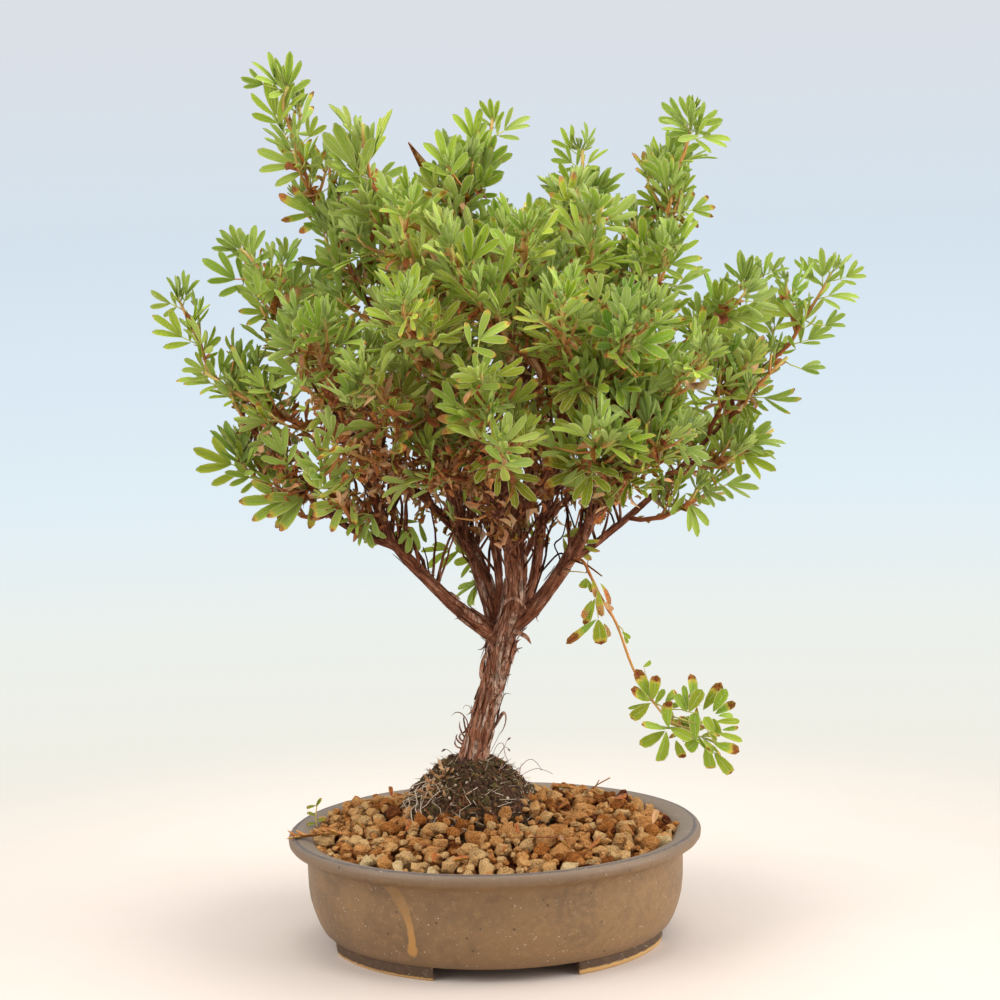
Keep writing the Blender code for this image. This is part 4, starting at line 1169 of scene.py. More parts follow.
@dataclass
class RootMound:
    """Cone of dark mossy soil knitted with pale rootlets round the trunk's foot."""

    middle: Vector = field(default_factory=lambda: Vector((-9.4, 15.0, 0.0)))
    steps: int = 110
    blades: int = 2100
    rootlets: int = 34
    grit: int = 560
    section: tuple[tuple[float, float], ...] = (
        (0.0, 72.6), (6.0, 72.3), (10.0, 70.8), (13.4, 68.2), (16.2, 65.2), (19.4, 61.6), (22.5, 57.6),
        (25.8, 53.2), (28.5, 48.6), (29.8, 43.0), (29.0, 37.0), (22.0, 24.5), (0.0, 23.4),
    )

    def swell(self, around: float, height: float) -> float:
        """How far the mound bulges or dips at a place, as a factor on its radius."""
        share = height / 73.0
        wave = 0.07 * math.sin(3 * around + 6 * share) + 0.05 * math.sin(7 * around - 9 * share)
        wave += 0.13 * max(0.0, math.cos(around))
        return 1.0 + wave * math.sin(math.pi * min(1.0, max(0.0, (share - 0.3) / 0.7)))

    def surface(self, around: float, height: float, proud: float = 0.0) -> Vector:
        """A point on the mound.

        Args:
            around: Angle about its axis.
            height: Height of the point.
            proud: How far outside the skin it lies.

        Returns:
            The point.
        """
        radius = self.section[0][0]
        for (r0, z0), (r1, z1) in zip(self.section, self.section[1:]):
            if z1 <= height <= z0:
                radius = r0 + (r1 - r0) * (z0 - height) / (z0 - z1)
                break
        reach = radius * self.swell(around, height) + proud
        return self.middle + Vector((reach * math.cos(around), 0.95 * reach * math.sin(around), height))

    def body(self) -> bmesh.types.BMesh:
        """The lump of soil."""
        shape = spun(divided(self.section, 1.5, 36.0), self.steps)
        shape.normal_update()
        for vertex in shape.verts:
            keep = self.swell(math.atan2(vertex.co.y, vertex.co.x), vertex.co.z)
            lump = 2.0 * noise.noise(vertex.co * 0.22) + 1.5 * noise.noise(vertex.co * 0.6)
            lump += 1.1 * noise.noise(vertex.co * 1.3)
            push = vertex.normal * lump
            vertex.co.x *= keep
            vertex.co.y *= keep * 0.95
            vertex.co += push
        bmesh.ops.translate(shape, vec=self.middle, verts=shape.verts)
        return shape

    def tuft(self, heap: Heap, draw: random.Random) -> None:
        """Adds one blade of moss, root hair or straw that stands off the mound."""
        height = draw.uniform(43.0, 72.0)
        around = draw.uniform(0, math.tau)
        foot = self.surface(around, height, draw.uniform(-0.4, 1.8))
        out = self.surface(around, height, 4.0) - foot + UP * draw.uniform(-0.5, 2.4)
        out = out.normalized() * 0.3
        bend = Vector((draw.gauss(0, 1), draw.gauss(0, 1), draw.gauss(-0.2, 0.8))) * 0.9
        kind = draw.random()
        if kind < 0.66:
            reach, width, tint = draw.uniform(1.0, 2.2), draw.uniform(0.2, 0.36), 0.2
        elif kind < 0.93:
            reach, width, tint = draw.uniform(1.4, 3.6), draw.uniform(0.12, 0.22), 1.0
        else:
            reach, width, tint = draw.uniform(1.6, 3.6), draw.uniform(0.3, 0.6), 0.45
        points = [foot, foot + (out + bend * 0.3) * reach * 0.5, foot + (out + bend) * reach]
        heap.take(swept(points, [width, width * 0.8, width * 0.2], 3, 0.6), tint=tint)

    def rootlet(self, heap: Heap, draw: random.Random) -> None:
        """Adds one pale root that runs down over the mound."""
        around = draw.gauss(3.8, 0.6) if draw.random() < 0.5 else draw.uniform(0, math.tau)
        height = draw.uniform(52.0, 66.0)
        drop = draw.uniform(6.0, 18.0)
        drift = draw.gauss(0, 0.6)
        points = []
        for i in range(7):
            t = i / 6
            proud = 1.2 + 1.2 * math.sin(math.pi * t) * draw.uniform(0.4, 1.4)
            low = max(44.5, height - drop * t)
            points.append(self.surface(around + drift * t + draw.gauss(0, 0.09), low, proud))
        width = draw.uniform(0.12, 0.3)
        radii = [width * (1.0 - 0.6 * i / 6) for i in range(7)]
        heap.take(swept(points, radii, 4), tint=draw.choice((1.0, 1.0, 0.8, 0.45)))

    def build(self) -> None:
        """Makes the mound and sets it down."""
        draw = random.Random(33)
        heap = Heap()
        heap.take(self.body())
        for _ in range(self.blades):
            self.tuft(heap, draw)
        for _ in range(self.rootlets):
            self.rootlet(heap, draw)
        for i in range(self.grit):
            speck = bmesh.new()
            pale = i % 12 == 0
            bmesh.ops.create_icosphere(speck, subdivisions=1, radius=draw.uniform(0.4, 0.9 if pale else 1.5))
            for vertex in speck.verts:
                vertex.co *= draw.uniform(0.6, 1.25)
            spot = self.surface(draw.uniform(0, math.tau), draw.uniform(44.0, 71.0), draw.uniform(0.2, 0.9))
            tint = 1.0 if pale else draw.choice((0.0, 0.0, 0.12, 0.2, 0.4))
            heap.take(speck, Matrix.Translation(spot), tint=tint)
        set_down("mossy_mound", heap.shape, MossFinish().made(), ["root_mound"], 60.0)


# Wood

LIMBS: dict[str, list[tuple[float, float, float, float]]] = {
    "trunk": [
        (-9.4, 15, 52, 6.0), (-7.4, 15, 74, 5.7), (-4.0, 14.6, 86, 5.1), (-0.7, 14, 98, 4.9),
        (2.8, 13, 110, 5.0), (5, 12, 122, 5.9), (8, 11, 131, 4.4),
    ],
    "leader": [
        (5, 12, 122, 4.6), (9.4, 7, 135, 4.3), (11.0, 3.4, 147, 4.1), (10.2, 1.6, 161, 3.8),
        (8.0, 1, 176, 3.4), (6.8, 2, 189, 2.9),
    ],
    "left": [
        (3, 12, 123, 3.8), (-8.9, 8, 133, 3.3), (-19.8, 2, 144.3, 2.9),
        (-36, -8, 164, 2.4), (-41, -11, 175, 2.1), (-52, -13, 210, 1.6),
    ],
    "left_low": [(-36, -8, 164, 1.8), (-53, -12, 172, 1.5), (-69, -12, 184, 1.2), (-81, -8, 199, 0.9)],
    "inner_left": [
        (3, 13, 124, 3.6), (-0.2, 18, 141, 3.5), (-5, 23, 155, 3.3), (-11, 28, 167, 2.8),
        (-18, 36, 196, 1.8), (-27, 42, 224, 1.4),
    ],
    "heart_mid": [
        (5, 14, 128, 2.2), (4.6, 14, 144, 1.9), (3.4, 16, 160, 1.6), (1.0, 18, 178, 1.3), (-4, 18, 200, 1.1),
    ],
    "heart_right": [
        (9, 14, 130, 2.5), (14.5, 18, 150, 2.3), (13, 20, 172, 1.9), (20, 22, 196, 1.4), (24, 18, 214, 1.1),
    ],
    "back_left": [(-8, 26, 161, 2.0), (-28, 42, 180, 1.7), (-48, 50, 200, 1.5), (-62, 52, 220, 1.3)],
    "right": [
        (8, 12, 126, 3.9), (20.0, 6, 137.5, 3.4), (34, -2, 158, 2.9),
        (43, -6, 174, 2.6), (52.5, -9, 200, 1.8), (61, -10, 228, 1.4),
    ],
    "right_low": [
        (33, -2, 155.5, 1.8), (47, 4, 164, 1.6), (69, 10, 181, 1.4), (89, 14, 200, 1.1),
        (103, 15, 214, 0.9),
    ],
    "right_front": [(43, -6, 174, 1.7), (56, -24, 190, 1.5), (66, -40, 208, 1.3)],
    "back": [(8, 14, 125, 2.8), (18, 25, 141, 2.4), (24, 41, 168, 2.0), (35, 60, 208, 1.4)],
    "back_right": [(23.6, 40, 167, 1.7), (42, 54, 182, 1.5), (60, 60, 202, 1.3)],
    "rear": [(4, 14, 124, 2.6), (-3, 30, 142, 2.3), (-9, 47, 162, 1.9), (-14, 62, 184, 1.5)],
    "upper_left": [(6, 2, 176, 2.1), (-2, -4, 194, 1.8), (-12, -8, 214, 1.5), (-20, -10, 238, 1.3)],
    "upper_right": [(5.4, 2.5, 182, 2.1), (12, 6, 202, 1.8), (15, 8, 226, 1.5), (13, 9, 250, 1.3)],
    "front": [(10.6, 3, 157, 1.9), (6, -18, 173, 1.6), (0, -40, 188, 1.4), (-5, -58, 203, 1.3)],
    "front_right": [(8, 2, 168, 1.8), (20, -16, 186, 1.5), (29, -36, 205, 1.4), (36, -52, 224, 1.3)],
}


# Ribbons of bark that curl off the trunk's foot and at the fork: their lines and half widths
CURLS: tuple[tuple[tuple[Point, ...], float], ...] = (
    (((-2.1, 12.0, 81.3), (-0.4, 12.2, 83.3), (2.1, 12.4, 86.9), (4.1, 12.6, 90.1), (5.4, 12.8, 90.9),
      (5.9, 13.0, 89.0), (5.6, 13.2, 86.4), (4.6, 13.4, 83.8), (3.5, 13.6, 81.6)), 1.1),
    (((-1.8, 13.6, 80.3), (0.0, 13.8, 83.5), (1.7, 14.0, 86.3), (3.6, 14.2, 89.1)), 1.0),
    (((-8.5, 12.4, 92.0), (-8.9, 12.5, 93.6), (-10.1, 13.0, 94.4), (-11.4, 13.5, 93.9),
      (-11.8, 14.0, 92.6)), 0.35),
    (((-9.9, 12.0, 85.3), (-10.3, 12.5, 87.8), (-11.5, 13.0, 89.8), (-13.1, 13.5, 91.2),
      (-15.2, 14.0, 91.2), (-16.9, 14.5, 89.6)), 0.75),
    (((-10.8, 12.5, 83.6), (-11.4, 13.0, 86.4), (-11.7, 13.5, 88.4), (-11.5, 14.0, 90.2)), 0.9),
    (((-11.3, 12.5, 80.6), (-12.9, 13.0, 83.5), (-13.5, 13.5, 85.5), (-13.4, 14.0, 87.5)), 0.8),
    (((-12.2, 13.0, 77.6), (-14.3, 13.5, 79.2), (-15.1, 14.0, 80.8), (-14.4, 14.5, 82.0)), 0.55),
    (((-12.7, 13.0, 76.3), (-14.7, 13.5, 76.7), (-15.7, 14.0, 78.3), (-15.3, 14.5, 79.9)), 0.45),
    (((-11.8, 12.5, 79.0), (-13.4, 13.0, 80.2), (-13.6, 13.5, 81.5), (-12.5, 14.0, 82.2)), 0.6),
    (((-1.4, 12.0, 116.4), (-3.4, 9.0, 112.4), (-4.0, 8.0, 107.0), (-2.4, 8.0, 105.0)), 0.8),
    (((10.4, 6.0, 126.4), (15.0, 3.0, 124.4), (17.0, 2.0, 121.4)), 1.0),
    (((6.0, 4.0, 138.0), (9.4, 1.0, 141.0), (13.0, 0.4, 139.6), (15.4, 1.0, 136.0)), 0.9),
)
# Thin hairs off the mound's top, some of which end in a dry bit
HAIRS: tuple[tuple[Point, ...], ...] = (
    ((0.0, 14.0, 70.0), (3.6, 13.0, 74.4), (5.2, 13.0, 77.0), (6.2, 12.6, 79.2), (7.8, 12.4, 80.4)),
    ((0.6, 13.0, 69.0), (3.0, 12.0, 74.0), (5.0, 12.0, 76.4), (6.4, 12.4, 75.8), (7.2, 12.8, 74.4)),
    ((-1.0, 14.0, 74.0), (1.6, 13.0, 79.0), (3.4, 12.6, 82.6), (4.8, 12.4, 84.0)),
    ((-1.0, 14.0, 71.0), (2.0, 12.0, 77.4), (4.4, 11.8, 78.0), (5.0, 12.0, 74.0), (6.4, 13.0, 70.0)),
    ((-15.0, 15.0, 70.0), (-17.0, 13.6, 74.0), (-19.4, 13.0, 76.0), (-21.4, 13.0, 75.0)),
    ((9.0, 13.0, 64.0), (13.0, 12.0, 69.6), (16.0, 12.0, 71.0), (18.6, 12.0, 69.0), (20.4, 12.0, 66.0)),
    ((10.0, 13.0, 63.0), (14.0, 12.0, 65.6), (18.0, 12.0, 67.0), (22.0, 12.0, 66.0), (25.0, 12.0, 64.4)),
)
# Thin dark tendrils among the limbs
TENDRILS: tuple[tuple[Point, ...], ...] = (
    ((-22.0, 6.0, 147.0), (-24.0, 3.0, 152.0), (-24.6, 0.0, 158.0), (-26.0, -1.0, 163.0)),
    ((19.0, 6.0, 142.0), (23.6, 6.0, 155.5), (25.1, 6.0, 167.8), (22.0, 6.0, 172.0), (27.0, 6.0, 178.1)),
    ((27.0, 3.0, 148.0), (29.7, 4.0, 155.6), (27.6, 4.0, 162.0), (31.1, 2.0, 166.1), (33.3, 0.0, 176.6)),
    ((22.0, 4.0, 151.0), (29.0, 2.0, 158.4), (33.0, 2.0, 157.4), (36.0, 2.0, 160.6)),
    ((13.0, 4.0, 150.0), (19.0, 0.0, 160.0), (20.4, -2.0, 168.0), (24.6, -3.0, 173.0)),
)


def limb_line(name: str, steps: int = 6) -> tuple[list[Vector], list[float]]:
    """A limb's smooth middle line and its radii.

    Args:
        name: The limb.
        steps: Pieces between its given points.

    Returns:
        The points and the radius at each.
    """
    rows = LIMBS[name]
    points = smooth_line([row[:3] for row in rows], steps)
    radii = []
    for a, b in zip(rows, rows[1:]):
        radii += [a[3] + (b[3] - a[3]) * i / steps for i in range(steps)]
    radii.append(rows[-1][3])
    return points, radii


@dataclass
class Wood:
    """Trunk and limbs in one skin, its bark raised in long ridges, with loose strips and dead twigs."""

    voxel: float = 0.62
    strips: int = 230
    dead_twigs: int = 320

    def __post_init__(self) -> None:
        """Reads the limbs' middle lines into a search tree."""
        self.samples: list[tuple[Vector, Vector, Vector, float, float]] = []
        for name in LIMBS:
            points, radii = limb_line(name, 8)
            travelled = 40.0 * len(self.samples)
            side = Vector((1.0, 0.0, 0.0))
            for i, point in enumerate(points):
                way = (points[min(i + 1, len(points) - 1)] - points[max(i - 1, 0)]).normalized()
                side = (side - way * side.dot(way)).normalized()
                if i:
                    travelled += (point - points[i - 1]).length
                self.samples.append((point, way, side.copy(), radii[i], travelled))
        self.tree = KDTree(len(self.samples))
        for i, row in enumerate(self.samples):
            self.tree.insert(row[0], i)
        self.tree.balance()

    def grain_at(self, point: Vector) -> tuple[Vector, float]:
        """Bark coordinates at a point: round the nearest limb and along it.

        Args:
            point: A point on the bark.

        Returns:
            The coordinates, and the limb's radius there.
        """
        _, index, _ = self.tree.find(point)
        middle, way, side, radius, travelled = self.samples[index]
        off = point - middle
        ahead = off.dot(way)
        flat = off - way * ahead
        flat.normalize()
        across = way.cross(side)
        twist = (travelled + ahead) * 0.02
        u, v = flat.dot(side), flat.dot(across)
        u, v = u * math.cos(twist) - v * math.sin(twist), u * math.sin(twist) + v * math.cos(twist)
        return Vector((u * radius, v * radius, travelled + ahead)), radius

    def skin(self) -> bmesh.types.BMesh:
        """All limbs fused, then ridged along their length."""
        heap = Heap()
        for name in LIMBS:
            points, radii = limb_line(name)
            if name == "trunk":
                radii = [r + 1.3 * max(0.0, 1.0 - (p.z - 66.0) / 12.0) for p, r in zip(points, radii)]
            heap.take(swept(points, radii, 20 if name in ("trunk", "leader") else 12))
        mesh = as_mesh(heap.shape)
        rough = bpy.data.objects.new("rough_wood", mesh)
        bpy.context.scene.collection.objects.link(rough)
        fuse = rough.modifiers.new("fuse", "REMESH")
        fuse.mode = "VOXEL"
        fuse.voxel_size = self.voxel
        soften = rough.modifiers.new("soften", "SMOOTH")
        soften.iterations = 2
        soften.factor = 0.5
        graph = bpy.context.evaluated_depsgraph_get()
        fused = bpy.data.meshes.new_from_object(rough.evaluated_get(graph))
        bpy.data.objects.remove(rough)
        shape = bmesh.new()
        shape.from_mesh(fused)
        bpy.data.meshes.remove(fused)
        shape.normal_update()
        grain = shape.verts.layers.float_vector.new("grain")
        papery = layer(shape, "papery")
        layer(shape, "tint")
        pushes = []
        for vertex in shape.verts:
            flow, radius = self.grain_at(vertex.co)
            vertex[grain] = flow
            ridge = noise.noise(Vector((flow.x * 0.55, flow.y * 0.55, flow.z * 0.045)))
            fibre = noise.noise(Vector((flow.x * 1.5, flow.y * 1.5, flow.z * 0.11)))
            lump = noise.noise(vertex.co * 0.11)
            girth = min(1.0, radius / 5.5)
            pushes.append(vertex.normal * (0.85 * ridge + 0.5 * abs(fibre) + 0.35 * lump - 0.2) * girth)
            vertex[papery] = girth
        for vertex, push in zip(shape.verts, pushes):
            vertex.co += push
        return shape

    def strip(self, draw: random.Random) -> Optional[bmesh.types.BMesh]:
        """One loose strip of bark that lies along a limb and lifts at an end.

        Args:
            draw: Source of chance.

        Returns:
            The strip, or None where its place is too near the mound.
        """
        index = draw.choices(range(len(self.samples)), [row[3] ** 2.4 for row in self.samples])[0]
        middle, way, side, radius, _ = self.samples[index]
        if middle.z < 72.0:
            return None
        turn = draw.uniform(0, math.tau)
        out = side.copy()
        out.rotate(Matrix.Rotation(turn, 3, way))
        reach = draw.uniform(5.0, 16.0) * min(1.0, radius / 4.0)
        curl = draw.choice((0.15, 0.4, 1.0, 2.2)) * draw.uniform(0.6, 1.2) * min(1.0, radius / 4.2) ** 2
        sense = draw.choice((-1.0, 1.0))
        points = []
        for i in range(7):
            t = i / 6
            lift = radius * 1.02 + 0.25 + curl * (t**3) * 1.6
            swing = 0.12 * math.sin(2.5 * t) * draw.uniform(0.5, 1.0)
            back = -0.35 * curl * t**4 * reach * 0.3
            spot = middle + way * sense * (reach * (t - 0.4) + back)
            spot += (out + way.cross(out) * swing) * lift
            points.append(spot)
        width = draw.uniform(0.4, 1.7) * min(1.0, radius / 4.2)
        radii = [width * w for w in (0.35, 0.9, 1.0, 1.0, 0.9, 0.7, 0.25)]
        return swept(points, radii, 4, 0.28, way.cross(out))

    def with_grain(self, heap: Heap, shape: bmesh.types.BMesh, tint: float, papery: float) -> None:
        """Adds a strip or twig to a heap, its grain running along it.

        Args:
            heap: Where it goes.
            shape: The strip or twig.
            tint: Lighter above 0, darker below.
            papery: Share of pale papery scraps.
        """
        grain = shape.verts.layers.float_vector.new("grain")
        along = layer(shape, "along")
        shape.verts.ensure_lookup_table()
        start = shape.verts[0].co.copy()
        for vertex in shape.verts:
            off = vertex.co - start
            vertex[grain] = Vector((off.x, off.y, vertex[along] * 14.0))
        heap.take(shape, None, tint=tint, papery=papery)

    def twig(self, draw: random.Random) -> bmesh.types.BMesh:
        """One bare upright stem or dead twig off a limb inside the crown."""
        while True:
            middle, way, side, radius, _ = draw.choice(self.samples)
            if middle.z > 146.0 and radius > 1.4 and abs(middle.x - 2.0) < 56.0:
                break
        out = side.copy()
        out.rotate(Matrix.Rotation(draw.uniform(0, math.tau), 3, way))
        heading = (out * 0.6 + way * 0.4 + UP * 0.8).normalized()
        reach = draw.uniform(12.0, 40.0)
        points = [middle + out * radius * 0.6]
        for _ in range(6):
            heading = (heading + spread_of(draw, 0.17) + UP * 0.12).normalized()
            points.append(points[-1] + heading * reach / 6)
        width = draw.uniform(0.45, 1.0)
        radii = [width * (1.0 - 0.5 * i / 6) for i in range(7)]
        return swept(points, radii, 5)

    def build(self) -> None:
        """Makes the wood, its loose strips and the dead twigs, and sets them down."""
        draw = random.Random(47)
        finish = BarkFinish().made()
        skin = self.skin()
        loose = Heap()
        for _ in range(self.strips):
            strip = self.strip(draw)
            if strip is not None:
                self.with_grain(loose, strip, draw.uniform(-0.2, 0.8), 1.0)
        set_down("barked_limbs", skin, finish, ["trunk"])
        for points, width in CURLS:
            middle, _, _, radius, _ = self.samples[self.tree.find(points[0])[1]]
            start = Vector(points[0])
            share = 0.8 * radius / max(radius, (start - middle).length)
            line = smooth_line([middle.lerp(start, share), *points], 3)
            count = len(line) - 1
            radii = [width * (1.0 - 0.75 * abs(2 * i / count - 0.9) ** 2.5) for i in range(count + 1)]
            radii = [max(0.12, value) for value in radii]
            self.with_grain(loose, swept(line, radii, 4, 0.35), 0.35, 1.0)
        set_down("peeling_strips", loose.shape, finish, (), 60.0)
        twigs = Heap()
        for _ in range(self.dead_twigs):
            self.with_grain(twigs, self.twig(draw), draw.uniform(-0.4, 0.2), 0.2)
        for row in HAIRS:
            thin = smooth_line(row, 4)
            bulge = [0.3, 0.5, 0.3] if row[-1][0] < 8.0 and row[0][2] < 70.5 else [0.12] * 3
            self.with_grain(twigs, swept(thin, [0.13] * (len(thin) - 4) + bulge + [0.06], 4), 0.2, 0.0)
        for row in TENDRILS:
            thin = smooth_line(row, 4)
            self.with_grain(twigs, swept(thin, [0.55 - 0.02 * i for i in range(len(thin))], 4), -0.6, 0.0)
        set_down("dead_twigs", twigs.shape, finish)


# Leaves


class LeafForm(Enum):
    """The kinds of compound leaf on the plant."""

    BUD = "bud"
    YOUNG = "young"
    PRIME = "prime"
    LARGE = "large"
    MATURE = "mature"
    SMALL = "small"
    WITHERED = "withered"


@dataclass(frozen=True)
class LeafCut:
    """How one kind of leaf is divided, folded and bent. A leaflet is an angle, a setback and a scale."""

    leaflets: tuple[tuple[float, float, float], ...]
    length: float
    width: float
    keel: float
    curl: float
    lift: float
    stalk: float
    unruly: float = 1.0


CUTS: dict[LeafForm, LeafCut] = {
    LeafForm.BUD: LeafCut(
        ((0, 0, 1.0), (17, 0, 0.92), (-17, 0, 0.92), (34, 1.2, 0.8), (-34, 1.2, 0.8)),
        10.5, 2.7, 0.95, 0.1, 4.0, 3.4,
    ),
    LeafForm.YOUNG: LeafCut(
        ((0, 0, 1.04), (23, 0, 0.95), (-23, 0, 0.95), (43, 2.8, 0.8), (-43, 2.8, 0.8)),
        12.8, 3.5, 0.66, 0.1, 8.0, 5.2,
    ),
    LeafForm.PRIME: LeafCut(
        ((0, 0, 1.06), (28, 0, 0.96), (-28, 0, 0.94), (52, 4.2, 0.84), (-52, 4.0, 0.82)),
        14.0, 4.0, 0.42, -0.1, 7.0, 7.4,
    ),
    LeafForm.LARGE: LeafCut(
        ((0, 0, 1.04), (22, 0, 0.96), (-23, 0, 0.94), (42, 3.8, 0.8), (-43, 3.6, 0.82)),
        19.0, 5.6, 0.38, 0.0, 6.0, 7.0,
    ),
    LeafForm.MATURE: LeafCut(
        ((0, 0, 1.04), (34, 0, 0.97), (-34, 0, 0.95), (62, 4.6, 0.84), (-62, 4.4, 0.82)),
        14.2, 4.4, 0.3, -0.35, 2.0, 8.2,
    ),
    LeafForm.SMALL: LeafCut(((0, 0, 1.0), (30, 0, 0.9), (-30, 0, 0.9)), 10.2, 3.1, 0.5, -0.1, 8.0, 3.6),
    LeafForm.WITHERED: LeafCut(
        ((0, 0, 0.9), (26, 0, 0.8), (-34, 0, 0.85), (64, 1.4, 0.7), (-60, 1.4, 0.7)),
        10.0, 3.4, 0.8, -1.1, -14.0, 5.0, 2.4,
    ),
}

Stations = Sequence[tuple[float, float]]

FINE: Stations = ((0.0, 0.06), (0.16, 0.42), (0.4, 0.84), (0.66, 1.0), (0.88, 0.84), (1.0, 0.22))
BROAD: Stations = ((0.0, 0.0), (0.14, 0.4), (0.38, 0.82), (0.7, 1.0), (0.9, 0.78), (1.0, 0.0))
PLAIN: Stations = ((0.0, 0.06), (0.26, 0.58), (0.62, 1.0), (0.87, 0.86), (1.0, 0.26))
CRISP: Stations = ((0.0, 0.2), (0.35, 0.9), (0.75, 0.95), (1.0, 0.1))
SCALE: Stations = ((0.0, 0.5), (0.5, 1.0), (1.0, 0.0))


def blade(
    length: float,
    width: float,
    keel: float,
    curl: float,
    thick: float = 0.34,
    twist: float = 0.0,
    stations: Stations = FINE,
) -> bmesh.types.BMesh:
    """One thin closed blade along +X, folded along its rib, its upper side up.

    Args:
        length: Length.
        width: Full width.
        keel: Rise of its margins as a share of its half width.
        curl: Radians that it bends up along its length; below 0 it bends down.
        thick: Thickness at the rib.
        twist: Radians that it turns about its rib.
        stations: Share of the length and of the width at each row.

    Returns:
        The blade, marked along, across and under.
    """
    shape = bmesh.new()
    along, across, under = layer(shape, "along"), layer(shape, "across"), layer(shape, "under")
    last = len(stations) - 1
    bmesh.ops.create_grid(shape, x_segments=last, y_segments=2, size=0.5)
    for vertex in shape.verts:
        reach, share = stations[round((vertex.co.x + 0.5) * last)]
        side = round(vertex.co.y * 2)
        vertex[along], vertex[across], vertex[under] = reach, side, 0.5 * abs(side)
        half = width / 2 * share
        bend = curl * reach
        fall = length * reach * (1.0 - bend * bend / 6)
        rise = length * reach * bend / 2
        lean = keel * half * abs(side)
        spread = side * half * math.sqrt(max(0.1, 1.0 - 0.5 * keel * keel))
        turn = twist * reach
        vertex.co = Vector(
            (
                fall - lean * bend,
                spread * math.cos(turn) - lean * math.sin(turn),
                rise + spread * math.sin(turn) + lean * math.cos(turn),
            )
        )
    upper = list(shape.faces)
    copy = bmesh.ops.duplicate(shape, geom=[*shape.verts, *shape.edges, *shape.faces])["geom"]
    lower = [g for g in copy if isinstance(g, bmesh.types.BMFace)]
    for vertex in (g for g in copy if isinstance(g, bmesh.types.BMVert)):
        if abs(vertex[across]) < 0.5:
            vertex[under] = 1.0
            inner = 0.04 < vertex[along] < 0.98
            vertex.co.z -= thick if inner else 0.0
    bmesh.ops.reverse_faces(shape, faces=lower)
    bmesh.ops.remove_doubles(shape, verts=shape.verts, dist=0.002)
    for edge in shape.edges:
        edge.smooth = not all(abs(v[across]) > 0.5 or v[along] in (0.0, 1.0) for v in edge.verts)
    for face in upper + lower:
        if face.is_valid:
            face.smooth = True
    bmesh.ops.recalc_face_normals(shape, faces=shape.faces)
    return shape


class LeafShop:
    """Cuts a few leaves of every form once, to be copied all over the crown."""

    def __init__(self, variants: int = 5) -> None:
        """Cuts the leaves, with a stalk for the common ones and without for those set one by one.

        Args:
            variants: Leaves of each form.
        """
        draw = random.Random(5)
        self.leaves, self.hands = (
            {form: [self.leaf(cut, draw, stalked) for _ in range(variants)] for form, cut in CUTS.items()}
            for stalked in (True, False)
        )
        self.reach = {form: cut.stalk + cut.length * 1.05 for form, cut in CUTS.items()}

    def leaf(self, cut: LeafCut, draw: random.Random, stalked: bool) -> bpy.types.Mesh:
        """One compound leaf along +X, with or without its stalk and the papery sheath at its foot.

        Args:
            cut: How it is divided and bent.
            draw: Source of chance.
            stalked: Whether it has its stalk.

        Returns:
            The leaf.
        """
        heap = Heap()
        stalk = cut.stalk if stalked else 0.0
        for angle, back, scale in cut.leaflets:
            wild = cut.unruly
            size = scale * draw.uniform(0.9, 1.08)
            piece = blade(
                cut.length * size,
                cut.width * size * draw.uniform(0.8, 1.04),
                cut.keel * draw.uniform(0.8, 1.2),
                cut.curl + draw.gauss(0, 0.2) * wild,
                twist=draw.gauss(0, 0.25) * wild,
                stations=PLAIN if stalked else FINE,
            )
            turn = Matrix.Rotation(math.radians(angle + draw.gauss(0, 5) * wild), 4, "Z")
            lift = Matrix.Rotation(-math.radians(cut.lift + draw.gauss(0, 7) * wild), 4, "Y")
            roll = Matrix.Rotation(draw.gauss(0, 0.18) * wild, 4, "X")
            heap.take(piece, Matrix.Translation((stalk - back, 0, 0)) @ turn @ lift @ roll, wood=-1.0)
        if stalked:
            sag = Vector((stalk * 0.5, draw.uniform(-0.3, 0.3), -0.05 * stalk))
            points = [Vector((-0.6, 0, 0)), sag, Vector((stalk + 0.4, 0, 0))]
            heap.take(swept(points, [0.4, 0.3, 0.26], 3), wood=0.05)
            sheath = Matrix.Translation((0.3, 0, 0)) @ Matrix.Rotation(-1.05, 4, "Y")
            heap.take(blade(3.4, 1.8, 0.5, 0.2, 0.3, stations=SCALE), sheath, wood=0.55)
        return as_mesh(heap.shape)


# Crown

